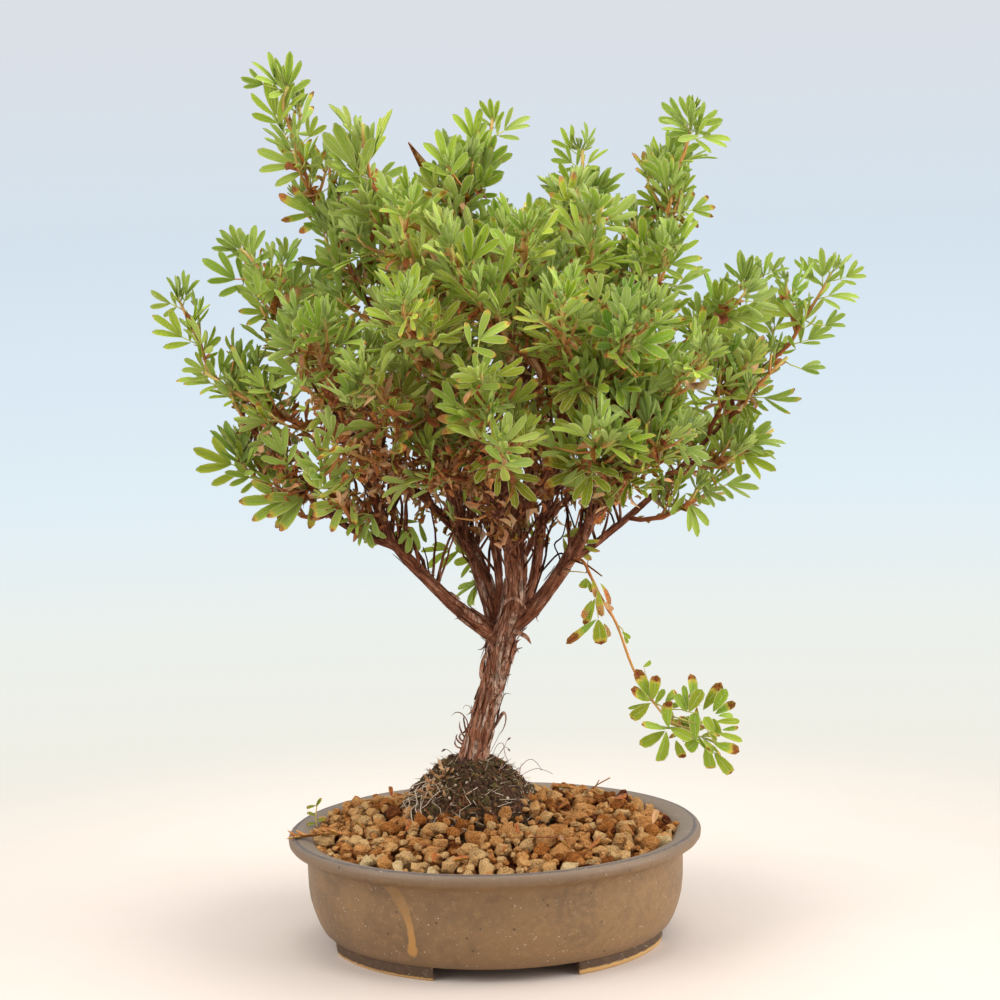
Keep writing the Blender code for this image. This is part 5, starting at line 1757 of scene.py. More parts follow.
# Every upright shoot's line, from inside its limb to its tip
SHOOTS: tuple[tuple[tuple[int, int, int], ...], ...] = (
    ((-20, -10, 238), (-24, -7, 240), (-44, 1, 259), (-56, 2, 286), (-64, 2, 298), (-66, 1, 306),
     (-68, 0, 313), (-71, -1, 321), (-72, -2, 327), (-74, -2, 333), (-76, -3, 339), (-76, -4, 344),
     (-74, -5, 349)),
    ((13, 9, 250), (9, 7, 252), (-8, -3, 265), (-37, -14, 284), (-38, -15, 295), (-40, -16, 305),
     (-42, -17, 313), (-43, -18, 321), (-44, -19, 327), (-44, -20, 333)),
    ((14, 8, 236), (17, 6, 240), (23, 0, 259), (-8, 6, 290), (-3, 7, 306), (1, 8, 317), (4, 8, 323),
     (6, 9, 330), (7, 10, 336)),
    ((61, -10, 228), (58, -7, 231), (48, 4, 251), (35, 10, 282), (38, 12, 294), (40, 13, 302),
     (42, 15, 310), (43, 16, 316), (43, 18, 322)),
    ((57, -10, 214), (57, -5, 218), (61, 10, 242), (68, 12, 270), (75, 2, 288), (76, 2, 296),
     (79, 3, 305), (80, 3, 312), (83, 4, 318), (85, 4, 324), (86, 5, 329), (86, 5, 335)),
    ((14, 8, 221), (19, 8, 223), (38, 11, 238), (50, 13, 258), (80, 12, 280), (79, 14, 292),
     (77, 15, 303), (76, 16, 310), (75, 18, 317)),
    ((103, 15, 214), (102, 12, 218), (100, 3, 230), (83, -8, 243), (90, -9, 248), (94, -10, 254),
     (98, -12, 259), (102, -13, 264), (105, -14, 268)),
    ((92, 14, 203), (93, 11, 208), (100, 3, 223), (117, 8, 234), (125, 7, 241), (131, 6, 251),
     (136, 6, 259), (139, 5, 264), (142, 4, 270)),
    ((-81, -8, 199), (-80, -8, 204), (-95, 2, 213), (-100, 2, 224), (-108, 3, 234), (-112, 3, 241),
     (-114, 3, 249), (-118, 3, 257), (-121, 4, 264), (-123, 4, 268)),
    ((-62, 52, 220), (-63, 48, 223), (-67, 32, 236), (-77, 6, 246), (-80, 7, 256), (-83, 8, 267),
     (-88, 8, 276), (-93, 9, 282), (-97, 10, 286)),
    ((-72, -11, 188), (-77, -9, 187), (-80, 2, 185), (-88, 2, 189), (-93, 1, 193), (-97, 0, 197),
     (-100, 0, 203)),
    ((82, 13, 194), (87, 12, 193), (96, 12, 193), (104, 12, 196), (111, 13, 201), (119, 14, 206)),
    ((58, 7, 172), (63, 6, 171), (72, 5, 172), (81, 6, 176), (89, 7, 180), (98, 8, 181)),
    ((-63, -12, 179), (-68, -11, 177), (-74, -10, 178), (-79, -10, 182), (-84, -9, 186), (-90, -10, 187)),
    ((-53, -12, 172), (-54, -16, 175), (-54, -19, 178), (-56, -21, 182), (-58, -23, 185),
     (-61, -24, 186)),
    ((-16, -9, 226), (-14, -6, 230), (-9, 6, 248), (-11, 4, 263), (-12, 6, 278), (-12, 7, 287),
     (-11, 9, 297), (-11, 10, 307), (-13, 12, 318)),
    ((99, 15, 210), (102, 11, 213), (106, 6, 218), (111, 5, 224), (117, 5, 230), (124, 6, 236)),
    ((-52, -13, 210), (-57, -12, 211), (-72, -7, 214), (-86, -2, 220), (-99, 1, 227), (-112, 2, 236)),
    ((-5, -58, 203), (-2, -62, 203), (2, -69, 203), (6, -77, 205), (7, -84, 208), (8, -92, 212)),
    ((-2, -47, 194), (-7, -48, 195), (-21, -50, 197), (-35, -54, 201), (-47, -60, 206), (-57, -68, 212)),
    ((1, -36, 186), (-3, -37, 189), (-18, -42, 201), (-28, -53, 213), (-36, -68, 226), (-43, -82, 238)),
    ((36, -52, 224), (33, -53, 227), (18, -55, 240), (5, -59, 254), (-5, -64, 269), (-10, -72, 284)),
    ((-12, -8, 214), (-12, -13, 217), (-13, -30, 233), (-17, -41, 254), (-24, -48, 277), (-30, -56, 300)),
    ((32, -44, 214), (31, -43, 219), (23, -42, 239), (19, -44, 259), (17, -49, 279), (17, -56, 298)),
    ((29, -36, 205), (29, -34, 210), (32, -32, 234), (36, -37, 256), (42, -46, 278), (48, -56, 300)),
    ((66, -40, 208), (63, -42, 210), (49, -53, 222), (38, -65, 234), (31, -77, 248), (30, -90, 262)),
    ((61, -32, 199), (58, -35, 202), (50, -42, 216), (48, -53, 230), (51, -67, 243), (58, -84, 254)),
    ((24, -26, 196), (21, -30, 197), (10, -46, 205), (4, -64, 215), (1, -81, 227), (0, -98, 240)),
    ((56, -24, 190), (54, -28, 191), (47, -44, 194), (42, -58, 200), (41, -73, 208), (44, -86, 216)),
    ((52, -18, 185), (51, -23, 185), (51, -37, 188), (55, -48, 195), (62, -59, 204), (70, -68, 212)),
    ((52, -9, 200), (55, -14, 202), (61, -29, 209), (68, -43, 219), (75, -54, 230), (84, -64, 242)),
    ((4, -25, 178), (2, -25, 183), (-7, -32, 207), (-14, -49, 226), (-21, -70, 244), (-28, -90, 262)),
    ((-48, -12, 197), (-49, -17, 199), (-53, -32, 211), (-56, -41, 226), (-62, -49, 243),
     (-70, -56, 258)),
    ((48, -8, 187), (49, -13, 190), (55, -29, 208), (63, -36, 233), (66, -30, 257), (69, -34, 269),
     (71, -38, 276), (73, -42, 282)),
    ((72, 11, 184), (75, 15, 184), (81, 24, 186), (88, 31, 191), (96, 36, 196), (105, 40, 202)),
    ((-14, 62, 184), (-15, 67, 184), (-16, 76, 187), (-18, 81, 195), (-20, 87, 204), (-22, 93, 210)),
    ((60, 60, 202), (61, 65, 203), (62, 70, 206), (65, 74, 210), (69, 78, 214), (73, 81, 218)),
    ((-54, 51, 208), (-56, 55, 209), (-61, 60, 212), (-66, 64, 216), (-70, 66, 222), (-75, 69, 227)),
    ((35, 60, 208), (32, 64, 209), (25, 73, 214), (20, 82, 220), (16, 91, 227), (15, 100, 235)),
    ((51, 57, 192), (54, 54, 195), (65, 47, 205), (77, 47, 218), (88, 53, 231), (100, 59, 243)),
    ((-27, 42, 224), (-28, 47, 225), (-32, 59, 229), (-35, 69, 235), (-39, 78, 243), (-44, 87, 252)),
    ((32, 54, 196), (34, 60, 197), (39, 72, 207), (43, 77, 224), (46, 80, 244), (50, 87, 260)),
    ((-45, 49, 197), (-45, 47, 202), (-48, 42, 220), (-56, 41, 237), (-68, 44, 253), (-79, 49, 268)),
    ((-23, 39, 212), (-20, 43, 215), (-12, 55, 228), (-7, 65, 243), (-5, 74, 260), (-6, 84, 277)),
    ((42, 54, 182), (41, 53, 187), (39, 50, 213), (45, 50, 238), (56, 52, 262), (67, 59, 285)),
    ((-19, 37, 200), (-16, 37, 205), (-11, 37, 227), (-18, 41, 250), (-30, 47, 272), (-40, 54, 293)),
    ((13, 6, 207), (12, 11, 210), (13, 30, 227), (15, 41, 250), (17, 48, 276), (20, 56, 302)),
)

# Leaves read off the photograph: where the leaflets meet, the middle leaflet's angle and length, and
# how brown it is in hundredths, or below 0 how bright
LEAVES: dict[LeafForm, tuple[tuple[int, int, int, int, int, int], ...]] = {
    LeafForm.BUD: (
        (-74, -5, 349, 104, 10, 0), (-45, -19, 327, 94, 11, 0), (42, 18, 322, 90, 6, 0),
        (41, 18, 322, 128, 7, 0), (44, 18, 322, 48, 7, 0), (87, 5, 335, 68, 8, 0), (143, 4, 271, 90, 8, 0),
        (145, 4, 272, 50, 8, 10), (141, 4, 271, 124, 8, 0), (-122, 4, 267, 90, 9, 0),
    ),
    LeafForm.YOUNG: (
        (-74, -5, 348, 82, 14, 0), (-76, -3, 337, 60, 15, 0), (-49, -20, 330, 126, 13, 0),
        (-41, -18, 323, 78, 12, 0), (7, 10, 333, 102, 11, 0), (2, 8, 315, 48, 16, 0),
        (48, 14, 303, 36, 14, -10), (38, 14, 306, 148, 15, 0), (46, 14, 305, 50, 12, 0),
        (86, 5, 333, 90, 11, 0), (106, -14, 268, 80, 12, -10), (116, -14, 271, 38, 8, 0),
        (134, 5, 269, 116, 10, 0), (-123, 4, 266, 110, 10, 0), (-118, 4, 267, 70, 11, 0),
        (-97, 10, 285, 120, 12, 0), (-98, 10, 285, 156, 11, 0), (-100, 0, 202, 124, 16, -10),
        (-63, -66, 198, 114, 14, -15), (-49, -78, 230, 102, 13, -15), (-14, -8, 176, 120, 8, -15),
    ),
    LeafForm.PRIME: (
        (-79, -5, 350, 142, 14, 0), (-73, -1, 323, 144, 16, 0), (-72, 0, 318, 158, 17, 5),
        (-66, 0, 315, 68, 11, 0), (-65, 2, 303, 138, 12, 0), (-65, 2, 299, 158, 16, 45),
        (-63, 2, 295, 98, 12, 0), (-35, -16, 300, 64, 14, 25), (-34, -14, 287, 34, 14, 0),
        (11, 9, 330, 36, 12, 0), (-1, 9, 327, 102, 14, 0), (-4, 7, 308, 86, 12, 0), (1, 7, 307, 60, 13, 0),
        (-10, 10, 306, 124, 13, 0), (-8, 9, 300, 82, 13, -10), (-9, 9, 300, 126, 12, 0),
        (-6, 9, 300, 40, 12, -10), (-16, 8, 293, 148, 15, 0), (-13, 6, 278, 138, 16, 0),
        (38, 17, 317, 138, 10, 0), (45, 16, 317, 40, 11, 0), (44, 14, 303, 90, 15, -10),
        (38, 14, 307, 116, 11, 0), (34, 12, 300, 116, 12, 0), (31, 11, 292, 158, 14, 0),
        (35, 11, 287, 26, 14, 0), (71, 16, 308, 134, 15, 42), (76, 18, 317, 104, 10, 0),
        (77, 14, 298, 108, 10, 0), (74, 15, 299, 144, 11, 0), (84, 5, 331, 138, 14, 0),
        (89, 5, 330, 44, 11, 0), (86, 4, 327, 158, 13, 0), (91, 4, 325, 4, 12, 0), (85, 4, 316, 12, 12, 0),
        (81, 3, 307, 114, 10, 0), (86, 2, 296, 6, 11, 35), (82, 2, 295, 68, 11, 0),
        (78, -42, 283, 76, 13, 0), (75, -42, 283, 110, 12, 0), (74, -39, 276, 18, 12, 20),
        (71, -38, 276, 138, 11, 0), (104, -14, 267, 102, 12, -10), (113, -14, 269, 76, 11, 0),
        (108, -13, 260, 18, 12, 0), (87, -10, 253, 68, 12, 0), (98, -11, 252, 346, 11, 0),
        (138, 4, 268, 96, 12, 0), (141, 5, 260, 6, 13, 0), (147, 4, 268, 26, 9, 0),
        (132, 6, 251, 86, 12, 0), (127, 6, 253, 146, 15, 0), (132, 7, 243, 22, 12, 8),
        (125, 7, 240, 158, 11, 0), (-121, 3, 250, 146, 14, 12), (-125, 4, 264, 154, 10, 0),
        (-112, 3, 245, 74, 11, 10), (-110, 3, 231, 170, 14, 20), (-111, 3, 237, 144, 11, 5),
        (-106, 3, 236, 58, 11, 10), (-102, 2, 226, 168, 11, 0), (-99, 2, 227, 78, 11, 0),
        (-92, 9, 283, 84, 14, 0), (-99, 9, 273, 148, 15, 5), (-90, 8, 266, 164, 12, 2),
        (-90, 8, 268, 100, 13, -10), (-88, 8, 271, 72, 12, 0), (-79, 8, 280, 82, 11, 0),
        (-84, 8, 280, 110, 9, 0), (-86, 7, 260, 176, 12, 25), (-89, 6, 248, 148, 12, 0),
        (-103, 0, 198, 152, 17, 0), (-95, 1, 193, 164, 11, 10), (-97, 0, 198, 60, 14, 0),
        (-91, 1, 192, 138, 12, 0), (-73, -10, 185, 204, 18, 30), (-80, -10, 185, 180, 18, 25),
        (-56, -21, 184, 212, 15, 30), (-62, -66, 198, 82, 14, -15), (-63, -68, 201, 146, 11, -10),
        (-58, -64, 197, 46, 11, -10), (-62, -68, 205, 98, 13, -5), (-48, -78, 230, 72, 11, -15),
        (-52, -82, 230, 140, 11, -10), (-45, -75, 227, 38, 10, -5), (-9, -81, 224, 148, 13, 10),
        (1, -77, 224, 18, 11, 12), (44, -84, 263, 104, 11, -10), (26, -73, 209, 140, 10, 0),
        (-23, -80, 254, 148, 12, 10), (110, 13, 201, 8, 14, 0), (108, 13, 202, 46, 12, 0),
        (109, 13, 199, 344, 12, 0), (107, 12, 196, 330, 14, 10), (105, 12, 200, 74, 11, 0),
        (114, 5, 219, 350, 16, 22), (99, 8, 185, 344, 13, 10), (89, 7, 183, 332, 10, 0),
        (88, 7, 191, 294, 11, 0), (83, 6, 178, 286, 15, 4), (-12, -5, 316, 105, 15, 0),
        (-75, 0, 270, 70, 12, 10), (-68, 5, 271, 25, 12, 0), (-74, -5, 235, 176, 14, 10),
        (-99, 0, 243, 98, 11, 20), (-88, -10, 230, 150, 12, 15), (-79, -20, 204, 110, 13, 0),
        (-30, 0, 171, 235, 12, 0), (-18, -5, 198, 265, 12, 0), (-6, 0, 182, 30, 12, 0),
        (-41, 5, 174, 250, 14, 10), (35, 0, 164, 340, 13, 30), (48, 40, 174, 250, 10, 0),
        (-16, -5, 307, 118, 12, 0), (-61, 10, 279, 60, 12, 0),
    ),
    LeafForm.LARGE: (
        (-79, -3, 338, 110, 15, 0), (-47, -18, 316, 106, 20, 0), (-40, -18, 323, 64, 19, 0),
        (-45, -15, 291, 150, 15, 0), (-5, 8, 320, 40, 16, 0), (-12, 12, 316, 106, 15, -10),
        (-7, 7, 287, 48, 15, 0), (-11, 5, 270, 76, 16, 20), (-14, 5, 255, 116, 20, 5),
        (77, -34, 267, 24, 15, 0), (94, -11, 259, 86, 14, 0), (104, -11, 252, 8, 14, 8),
        (129, 6, 251, 106, 15, 0), (-116, 3, 256, 74, 13, 0), (-100, 0, 202, 94, 16, -10),
        (53, -84, 256, 84, 13, -15), (54, -63, 221, 116, 14, -5), (-87, -5, 265, 100, 13, 0),
        (36, -30, 197, 268, 12, 0), (50, -30, 194, 262, 13, 0),
    ),
    LeafForm.MATURE: (
        (0, -94, 236, 68, 12, 22), (-1, -98, 251, 42, 13, 28), (56, -76, 247, 10, 13, -10),
        (44, -76, 208, 104, 11, 0), (36, -58, 199, 266, 11, 12), (51, -36, 197, 278, 13, 15),
        (59, -58, 208, 24, 13, 8), (-15, 30, 158, 180, 14, 0), (-5, 32, 154, 200, 12, 0),
        (-5, 35, 143, 240, 13, 0), (-4, 35, 142, 208, 12, 0), (-46, 0, 181, 225, 15, 10),
        (18, 20, 170, 250, 9, 30), (25, 10, 192, 200, 11, 10),
    ),
    LeafForm.SMALL: (
        (-84, -5, 350, 164, 10, 0), (-71, -2, 330, 110, 7, 0), (-67, -2, 329, 60, 10, 0),
        (-60, 1, 309, 60, 8, 0), (-39, -16, 310, 22, 13, 0), (-44, -16, 309, 152, 13, 2),
        (44, 18, 324, 76, 10, 0), (39, 18, 322, 120, 11, 0), (77, 18, 316, 48, 9, 0),
        (75, 18, 318, 148, 9, 0), (80, 15, 302, 80, 8, 60), (89, 4, 326, 60, 9, 0), (82, 3, 303, 48, 10, 0),
        (139, 6, 249, 28, 10, 0), (-78, -10, 182, 188, 10, 55), (-50, -17, 178, 220, 10, 0),
        (-45, -17, 179, 252, 11, 0), (-49, -14, 175, 288, 12, 10), (-30, -8, 173, 254, 12, 0),
        (0, -94, 236, 198, 11, 30), (129, 6, 232, 358, 11, 0), (107, 6, 217, 334, 9, 0),
        (73, 6, 183, 264, 11, 5), (69, 6, 188, 268, 10, 15),
    ),
}

# Single leaflets: x and z of the foot and of the tip, depth, width, and how brown in hundredths
Leaflet = tuple[float, float, float, float, int, float, int]
HANGING_LEAFLETS: tuple[Leaflet, ...] = (
        (63.4, 105.7, 57.4, 117.0, -40, 3.5, 45), (63.7, 105.5, 65.1, 114.6, -41, 3.5, 40),
        (63.1, 104.5, 53.8, 109.1, -38, 3.5, 45), (62.5, 104.3, 55.4, 98.1, -41, 3.5, 20),
        (63.6, 103.5, 54.9, 101.3, -37, 1.2, 0), (64.6, 103.4, 67.9, 108.9, -39, 1.9, 0),
        (69.7, 94.5, 68.7, 104.5, -43, 4.3, 40), (69.0, 93.7, 59.6, 96.4, -41, 3.5, 25),
        (68.2, 93.2, 59.0, 88.2, -42, 3.9, 15), (68.5, 93.4, 66.7, 80.6, -43, 3.9, 10),
        (70.2, 94.1, 78.0, 90.3, -41, 3.5, 0), (72.6, 88.8, 75.7, 81.9, -39, 3.1, 35),
        (68.7, 103.3, 75.1, 108.8, -37, 3.1, 35), (69.9, 101.1, 75.1, 102.5, -36, 2.7, 0),
        (76.9, 100.5, 72.7, 107.0, -42, 3.1, 0), (77.4, 100.7, 76.0, 110.3, -41, 1.9, 0),
        (77.6, 100.7, 82.5, 108.9, -43, 3.9, 0), (79.9, 102.4, 79.3, 114.4, -40, 3.1, 35),
        (82.4, 102.0, 78.5, 106.5, -38, 1.6, 100), (83.4, 100.7, 90.2, 111.3, -40, 3.5, 45),
        (87.1, 100.3, 92.7, 109.3, -42, 3.5, 0), (88.0, 99.2, 95.1, 103.8, -41, 2.7, 50),
        (89.0, 98.6, 95.7, 98.8, -42, 1.9, 10), (87.7, 96.5, 96.8, 97.0, -43, 2.3, 0),
        (90.8, 92.3, 96.7, 93.0, -39, 1.6, 30), (88.2, 91.8, 97.9, 88.8, -42, 2.3, 0),
        (87.3, 87.5, 96.3, 84.8, -42, 3.5, 45), (87.3, 84.0, 94.3, 74.6, -41, 3.5, 20),
        (84.2, 87.1, 85.6, 76.7, -42, 3.5, 20), (80.1, 89.7, 87.5, 85.1, -44, 3.1, 0),
        (81.4, 89.8, 77.0, 85.6, -43, 3.9, 10), (80.1, 89.3, 79.5, 99.7, -44, 3.5, 0),
        (87.4, 92.3, 83.2, 98.8, -42, 3.1, 0), (86.0, 90.7, 88.7, 88.2, -40, 1.6, 0),
        (90.6, 90.4, 86.4, 96.1, -41, 3.1, 0), (41.1, 144.0, 37.4, 137.3, -30, 2.0, 60),
        (42.3, 144.9, 38.1, 134.3, -31, 2.4, 35), (43.5, 148.3, 44.4, 137.9, -32, 2.4, 60),
        (44.6, 144.1, 49.7, 139.6, -31, 1.6, 100), (44.5, 150.6, 49.8, 142.4, -29, 2.0, 90),
        (39.0, 152.4, 37.4, 148.5, -27, 2.8, 20), (42.8, 136.9, 31.9, 127.2, -33, 2.7, 55),
        (43.2, 137.0, 44.1, 127.4, -34, 4.3, 30), (45.6, 135.0, 47.8, 128.6, -32, 2.0, 100),
        (41.4, 151.7, 43.2, 144.9, -28, 2.0, 70), (39.1, 152.3, 41.3, 146.6, -26, 1.6, 30),
        (52.4, 131.8, 55.2, 129.3, -35, 1.6, 0), (53.2, 130.9, 54.3, 127.3, -35, 1.2, 10),
        (60.2, 118.3, 63.0, 119.8, -39, 1.6, 0),
)
SPRIG_LEAFLETS: tuple[Leaflet, ...] = (
        (7.4, 211.5, 9.9, 223.4, -97, 3.6, 0), (7.0, 211.7, 6.6, 220.8, -95, 2.2, 0),
        (7.0, 211.0, 4.7, 219.1, -96, 1.8, 0), (7.0, 210.8, 0.6, 216.4, -97, 1.8, 0),
        (8.9, 213.4, 15.6, 222.3, -98, 2.5, 0), (10.3, 213.4, 20.2, 215.3, -99, 2.5, 0),
        (7.7, 210.8, 16.1, 211.0, -98, 2.5, 0), (7.2, 205.8, 1.6, 212.1, -98, 2.9, 0),
        (7.2, 204.9, 2.1, 205.4, -97, 2.9, 0), (7.6, 205.2, 17.7, 206.0, -100, 3.3, 0),
        (7.6, 204.7, 14.4, 201.9, -98, 1.8, 0), (7.2, 204.9, 8.5, 199.7, -100, 3.3, 0),
        (7.6, 207.0, 10.9, 207.7, -96, 1.1, 0),
)


class Line:
    """A line of points measured from its start."""

    def __init__(self, points: Sequence[Vector]) -> None:
        """Measures the points."""
        self.points = list(points)
        self.marks = [0.0]
        for a, b in zip(self.points, self.points[1:]):
            self.marks.append(self.marks[-1] + (b - a).length)

    @property
    def length(self) -> float:
        """The line's length."""
        return self.marks[-1]

    def at(self, distance: float) -> tuple[Vector, Vector]:
        """The point at a distance from the start, and the way that the line runs there."""
        wanted = min(max(distance, 0.0), self.length - 1e-6)
        for a, b, u, v in zip(self.points, self.points[1:], self.marks, self.marks[1:]):
            if wanted <= v:
                return a.lerp(b, (wanted - u) / max(v - u, 1e-9)), (b - a).normalized()
        return self.points[-1], (self.points[-1] - self.points[-2]).normalized()


def turned(point: Vector, way: Vector, face: Vector, size: float) -> Matrix:
    """Sets a leaf down: its foot at a point, along a way, its upper side to a face."""
    up = face - way * face.dot(way)
    up = up.normalized() if up.length > 0.05 else way.orthogonal().normalized()
    turn = Matrix((way, up.cross(way), up)).transposed().to_4x4()
    return Matrix.Translation(point) @ turn @ Matrix.Scale(size, 4)


@dataclass(frozen=True)
class Growth:
    """How a stem's leaves look: scale, depth in shade (older, browner, and darker as painted shade) and
    tint.
    """

    vigour: float
    inner_shade: float
    tint: float


@dataclass
class Crown:
    """All leafy shoots: each packed shoot's stem with side shoots, tufts and compound leaves."""

    shop: LeafShop
    finish: bpy.types.Material
    middle: Vector = field(default_factory=lambda: Vector((8.0, 0.0, 235.0)))
    spread: Vector = field(default_factory=lambda: Vector((130.0, 104.0, 104.0)))
    eye: Vector = field(default_factory=lambda: Vector((5.8, -928.9, 284.6)))
    internode: float = 6.5
    slack: float = 4.0
    # Dark twiggy parts of the crown, seen from the front: x, z, two half sizes and how bare, which also
    # sets how much painted shade darkens the leaves there
    hearts: tuple[tuple[float, float, float, float, float], ...] = (
        (4.0, 182.0, 44.0, 34.0, 1.1), (-54.0, 206.0, 50.0, 38.0, 0.8), (-4.0, 238.0, 56.0, 34.0, 0.5),
        (62.0, 186.0, 40.0, 22.0, 0.5),
    )
    # Shoots whose tips are set leaf by leaf
    portrayed: tuple[int, ...] = (1, 2, 3, 4, 5, 6, 7, 8, 9, 10, 11, 16, 19, 28, 29, 34)
    # How far the crown reaches from its middle, seen from the front, every 3 degrees from +X over +Z
    reach: tuple[int, ...] = (
        121, 119, 135, 135, 143, 146, 143, 119, 106, 83, 84, 85, 106, 102, 107, 127, 134, 132, 133, 125,
        90, 92, 97, 104, 96, 97, 74, 64, 102, 101, 106, 107, 104, 103, 96, 98, 98, 111, 115, 117,
        119, 149, 153, 155, 147, 130, 128, 111, 95, 116, 119, 124, 124, 126, 133, 142, 136, 140, 128, 126,
        127, 114, 115, 119, 122, 129, 119, 117, 110, 114, 115, 97, 97, 98, 91, 90, 88, 86, 84, 82,
        80, 78, 77, 76, 75, 74, 74, 74, 74, 75, 76, 77, 78, 78, 78, 80, 84, 88, 86, 79,
        79, 78, 79, 78, 78, 78, 97, 102, 96, 102, 105, 109, 110, 120, 115, 117, 111, 120, 110, 127,
    )
    inset: float = 0.945
    # Open bays in that outline: x, z and radius
    bays: tuple[tuple[float, float, float], ...] = (
        (-36.6, 319.3, 5.3), (8.0, 310.2, 5.7), (20.2, 305.1, 4.1), (71.2, 310.6, 4.1),
        (-111.1, 256.6, 4.9), (96.2, 272.1, 4.9), (121.0, 259.4, 3.7), (-69.9, 339.1, 3.3),
        (-28.8, 313.2, 3.3), (-119.0, 230.2, 4.9), (68.6, 172.4, 5.7), (102.7, 272.7, 4.1),
        (-55.9, 158.4, 8.9), (-99.9, 263.2, 7.6), (-36.0, 328.0, 4.0), (64.2, 174.9, 5.7),
        (7.2, 312.6, 5.2), (58.8, 308.9, 5.2), (65.5, 306.7, 4.4), (83.1, 280.4, 4.8),
        (-105.7, 281.3, 4.0), (-21.7, 322.5, 4.8), (-77.5, 315.6, 4.4), (-86.1, 290.0, 4.2),
        (-70.3, 294.8, 4.0), (69.1, 324.9, 3.6), (-57.4, 318.7, 4.0), (104.6, 236.9, 3.8),
        (117.5, 252.5, 4.4), (-102.9, 250.4, 3.8), (36.0, 174.0, 4.0), (-107.5, 195.0, 4.4),
        (-110.2, 227.6, 4.4), (12.6, 320.4, 3.6), (38.0, 328.8, 3.4), (32.2, 318.3, 3.4),
        (108.0, 184.4, 3.8), (89.1, 178.4, 3.6), (-84.7, 317.4, 3.4), (-92.0, 238.0, 3.6),
        (-70.0, 246.0, 3.2), (-88.0, 214.0, 3.4), (92.0, 232.0, 3.4), (98.0, 204.0, 3.4),
        (78.0, 252.0, 3.0),
    )
    # Stem of the long shoot that hangs over the pot's side
    hanging: tuple[Point, ...] = (
        (34, -2, 156), (38.2, -12, 157.4), (40.8, -22, 153.1), (43.3, -26, 147.7), (46.2, -29, 141.9),
        (50.6, -32, 134.3), (56.7, -35, 116.6), (63.9, -38, 104.3), (70.8, -40, 96.5), (79.1, -41, 93.5),
        (87, -42, 94.5),
    )
    # How many dead leaves there are once each part of the heart is filled
    withered: tuple[int, ...] = (1000, 2900, 3300, 3600)

    def __post_init__(self) -> None:
        """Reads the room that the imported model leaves, in millimetres from the pot."""
        low, high = CAD_BOX
        self.low = low / MM - POT_OFFSET - Vector((self.slack,) * 3)
        self.high = high / MM - POT_OFFSET + Vector((self.slack,) * 3)
        self.count = 0

    def depth(self, point: Vector) -> float:
        """How far out in the crown a point lies: 0 at its middle, 1 at its skin."""
        off = point - self.middle
        return math.sqrt(sum((off[i] / self.spread[i]) ** 2 for i in range(3)))

    def seen(self, point: Vector) -> Vector:
        """Where a point shows on the plane through the pot's middle, seen from the camera."""
        nearer = self.eye.y / (self.eye.y - point.y)
        return self.eye + (point - self.eye) * nearer

    def in_heart(self, point: Vector, part: slice = slice(None)) -> float:
        """How deep in a twiggy part of the crown a point shows: 0 outside, up to 1 at its middle."""
        spot = self.seen(point)
        deep = [
            bare * (1.0 - math.hypot((spot.x - x) / wide, (spot.z - z) / high))
            for x, z, wide, high, bare in self.hearts[part]
        ]
        return min(1.0, max(0.0, *deep, 0.0))

    def fits(self, point: Vector) -> bool:
        """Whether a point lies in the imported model's box and in the crown's outline."""
        if not all(self.low[i] < point[i] < self.high[i] for i in range(3)):
            return False
        spot = self.seen(point)
        if any(math.hypot(spot.x - x, spot.z - z) < reach for x, z, reach in self.bays):
            return False
        off = spot - self.middle
        share = (math.atan2(off.z, off.x) % math.tau) / math.tau * len(self.reach)
        first = int(share) % len(self.reach)
        near, far = self.reach[first], self.reach[(first + 1) % len(self.reach)]
        return math.hypot(off.x, off.z) < self.inset * (near + (far - near) * (share - int(share)))

    def leaf(
        self,
        heap: Heap,
        form: LeafForm,
        point: Vector,
        stalk: Vector,
        light: Vector,
        size: float,
        draw: random.Random,
        **marks: float,
    ) -> None:
        """Adds one leaf to a shoot, turned towards the light, if there is room for it.

        Args:
            heap: The shoot.
            form: The kind of leaf.
            point: Where its stalk leaves the stem.
            stalk: The way it points.
            light: The way it faces.
            size: Its scale.
            draw: Source of chance.
            **marks: How old it looks with any painted shade, its tint and burn.
        """
        reach = self.shop.reach[form] * size
        for lift in (0.0, 0.7):
            way = (stalk + light.normalized() * lift).normalized()
            side = way.cross(light).normalized() * reach * 0.42
            middle = point + way * reach * 0.72
            if all(self.fits(spot) for spot in (point + way * reach, middle + side, middle - side)):
                heap.add(draw.choice(self.shop.leaves[form]), turned(point, way, light, size), **marks)
                self.count += 1
                return

    def form_at(self, back: float, draw: random.Random) -> LeafForm:
        """The kind of leaf at a distance back from a shoot's tip."""
        if back < 2.0:
            return LeafForm.BUD
        if back < 8.0:
            return LeafForm.YOUNG
        if back < 26.0:
            return LeafForm.PRIME
        return draw.choice((LeafForm.PRIME, LeafForm.MATURE, LeafForm.MATURE))

    def crumb(self, heap: Heap, point: Vector, draw: random.Random, size: float = 1.0) -> None:
        """Adds a dry curled leaflet that has stayed at a joint of the stem."""
        way = Vector((draw.gauss(0, 1), draw.gauss(0, 1), draw.gauss(-0.2, 0.7))).normalized()
        length, keel = draw.uniform(4.0, 9.0), draw.uniform(0.6, 1.1)
        curl, twist = draw.gauss(0, 1.3), draw.gauss(0, 1.4)
        piece = blade(length, length * draw.uniform(0.35, 0.6), keel, curl, 0.3, twist, CRISP)
        light = UP + spread_of(draw, 0.8)
        if self.fits(point + way * length * size):
            place = turned(point, way, light, size)
            heap.take(piece, place, wood=-1.0, burn=1.3, age=1.0, tint=draw.gauss(0.1, 0.7))
        else:
            piece.free()

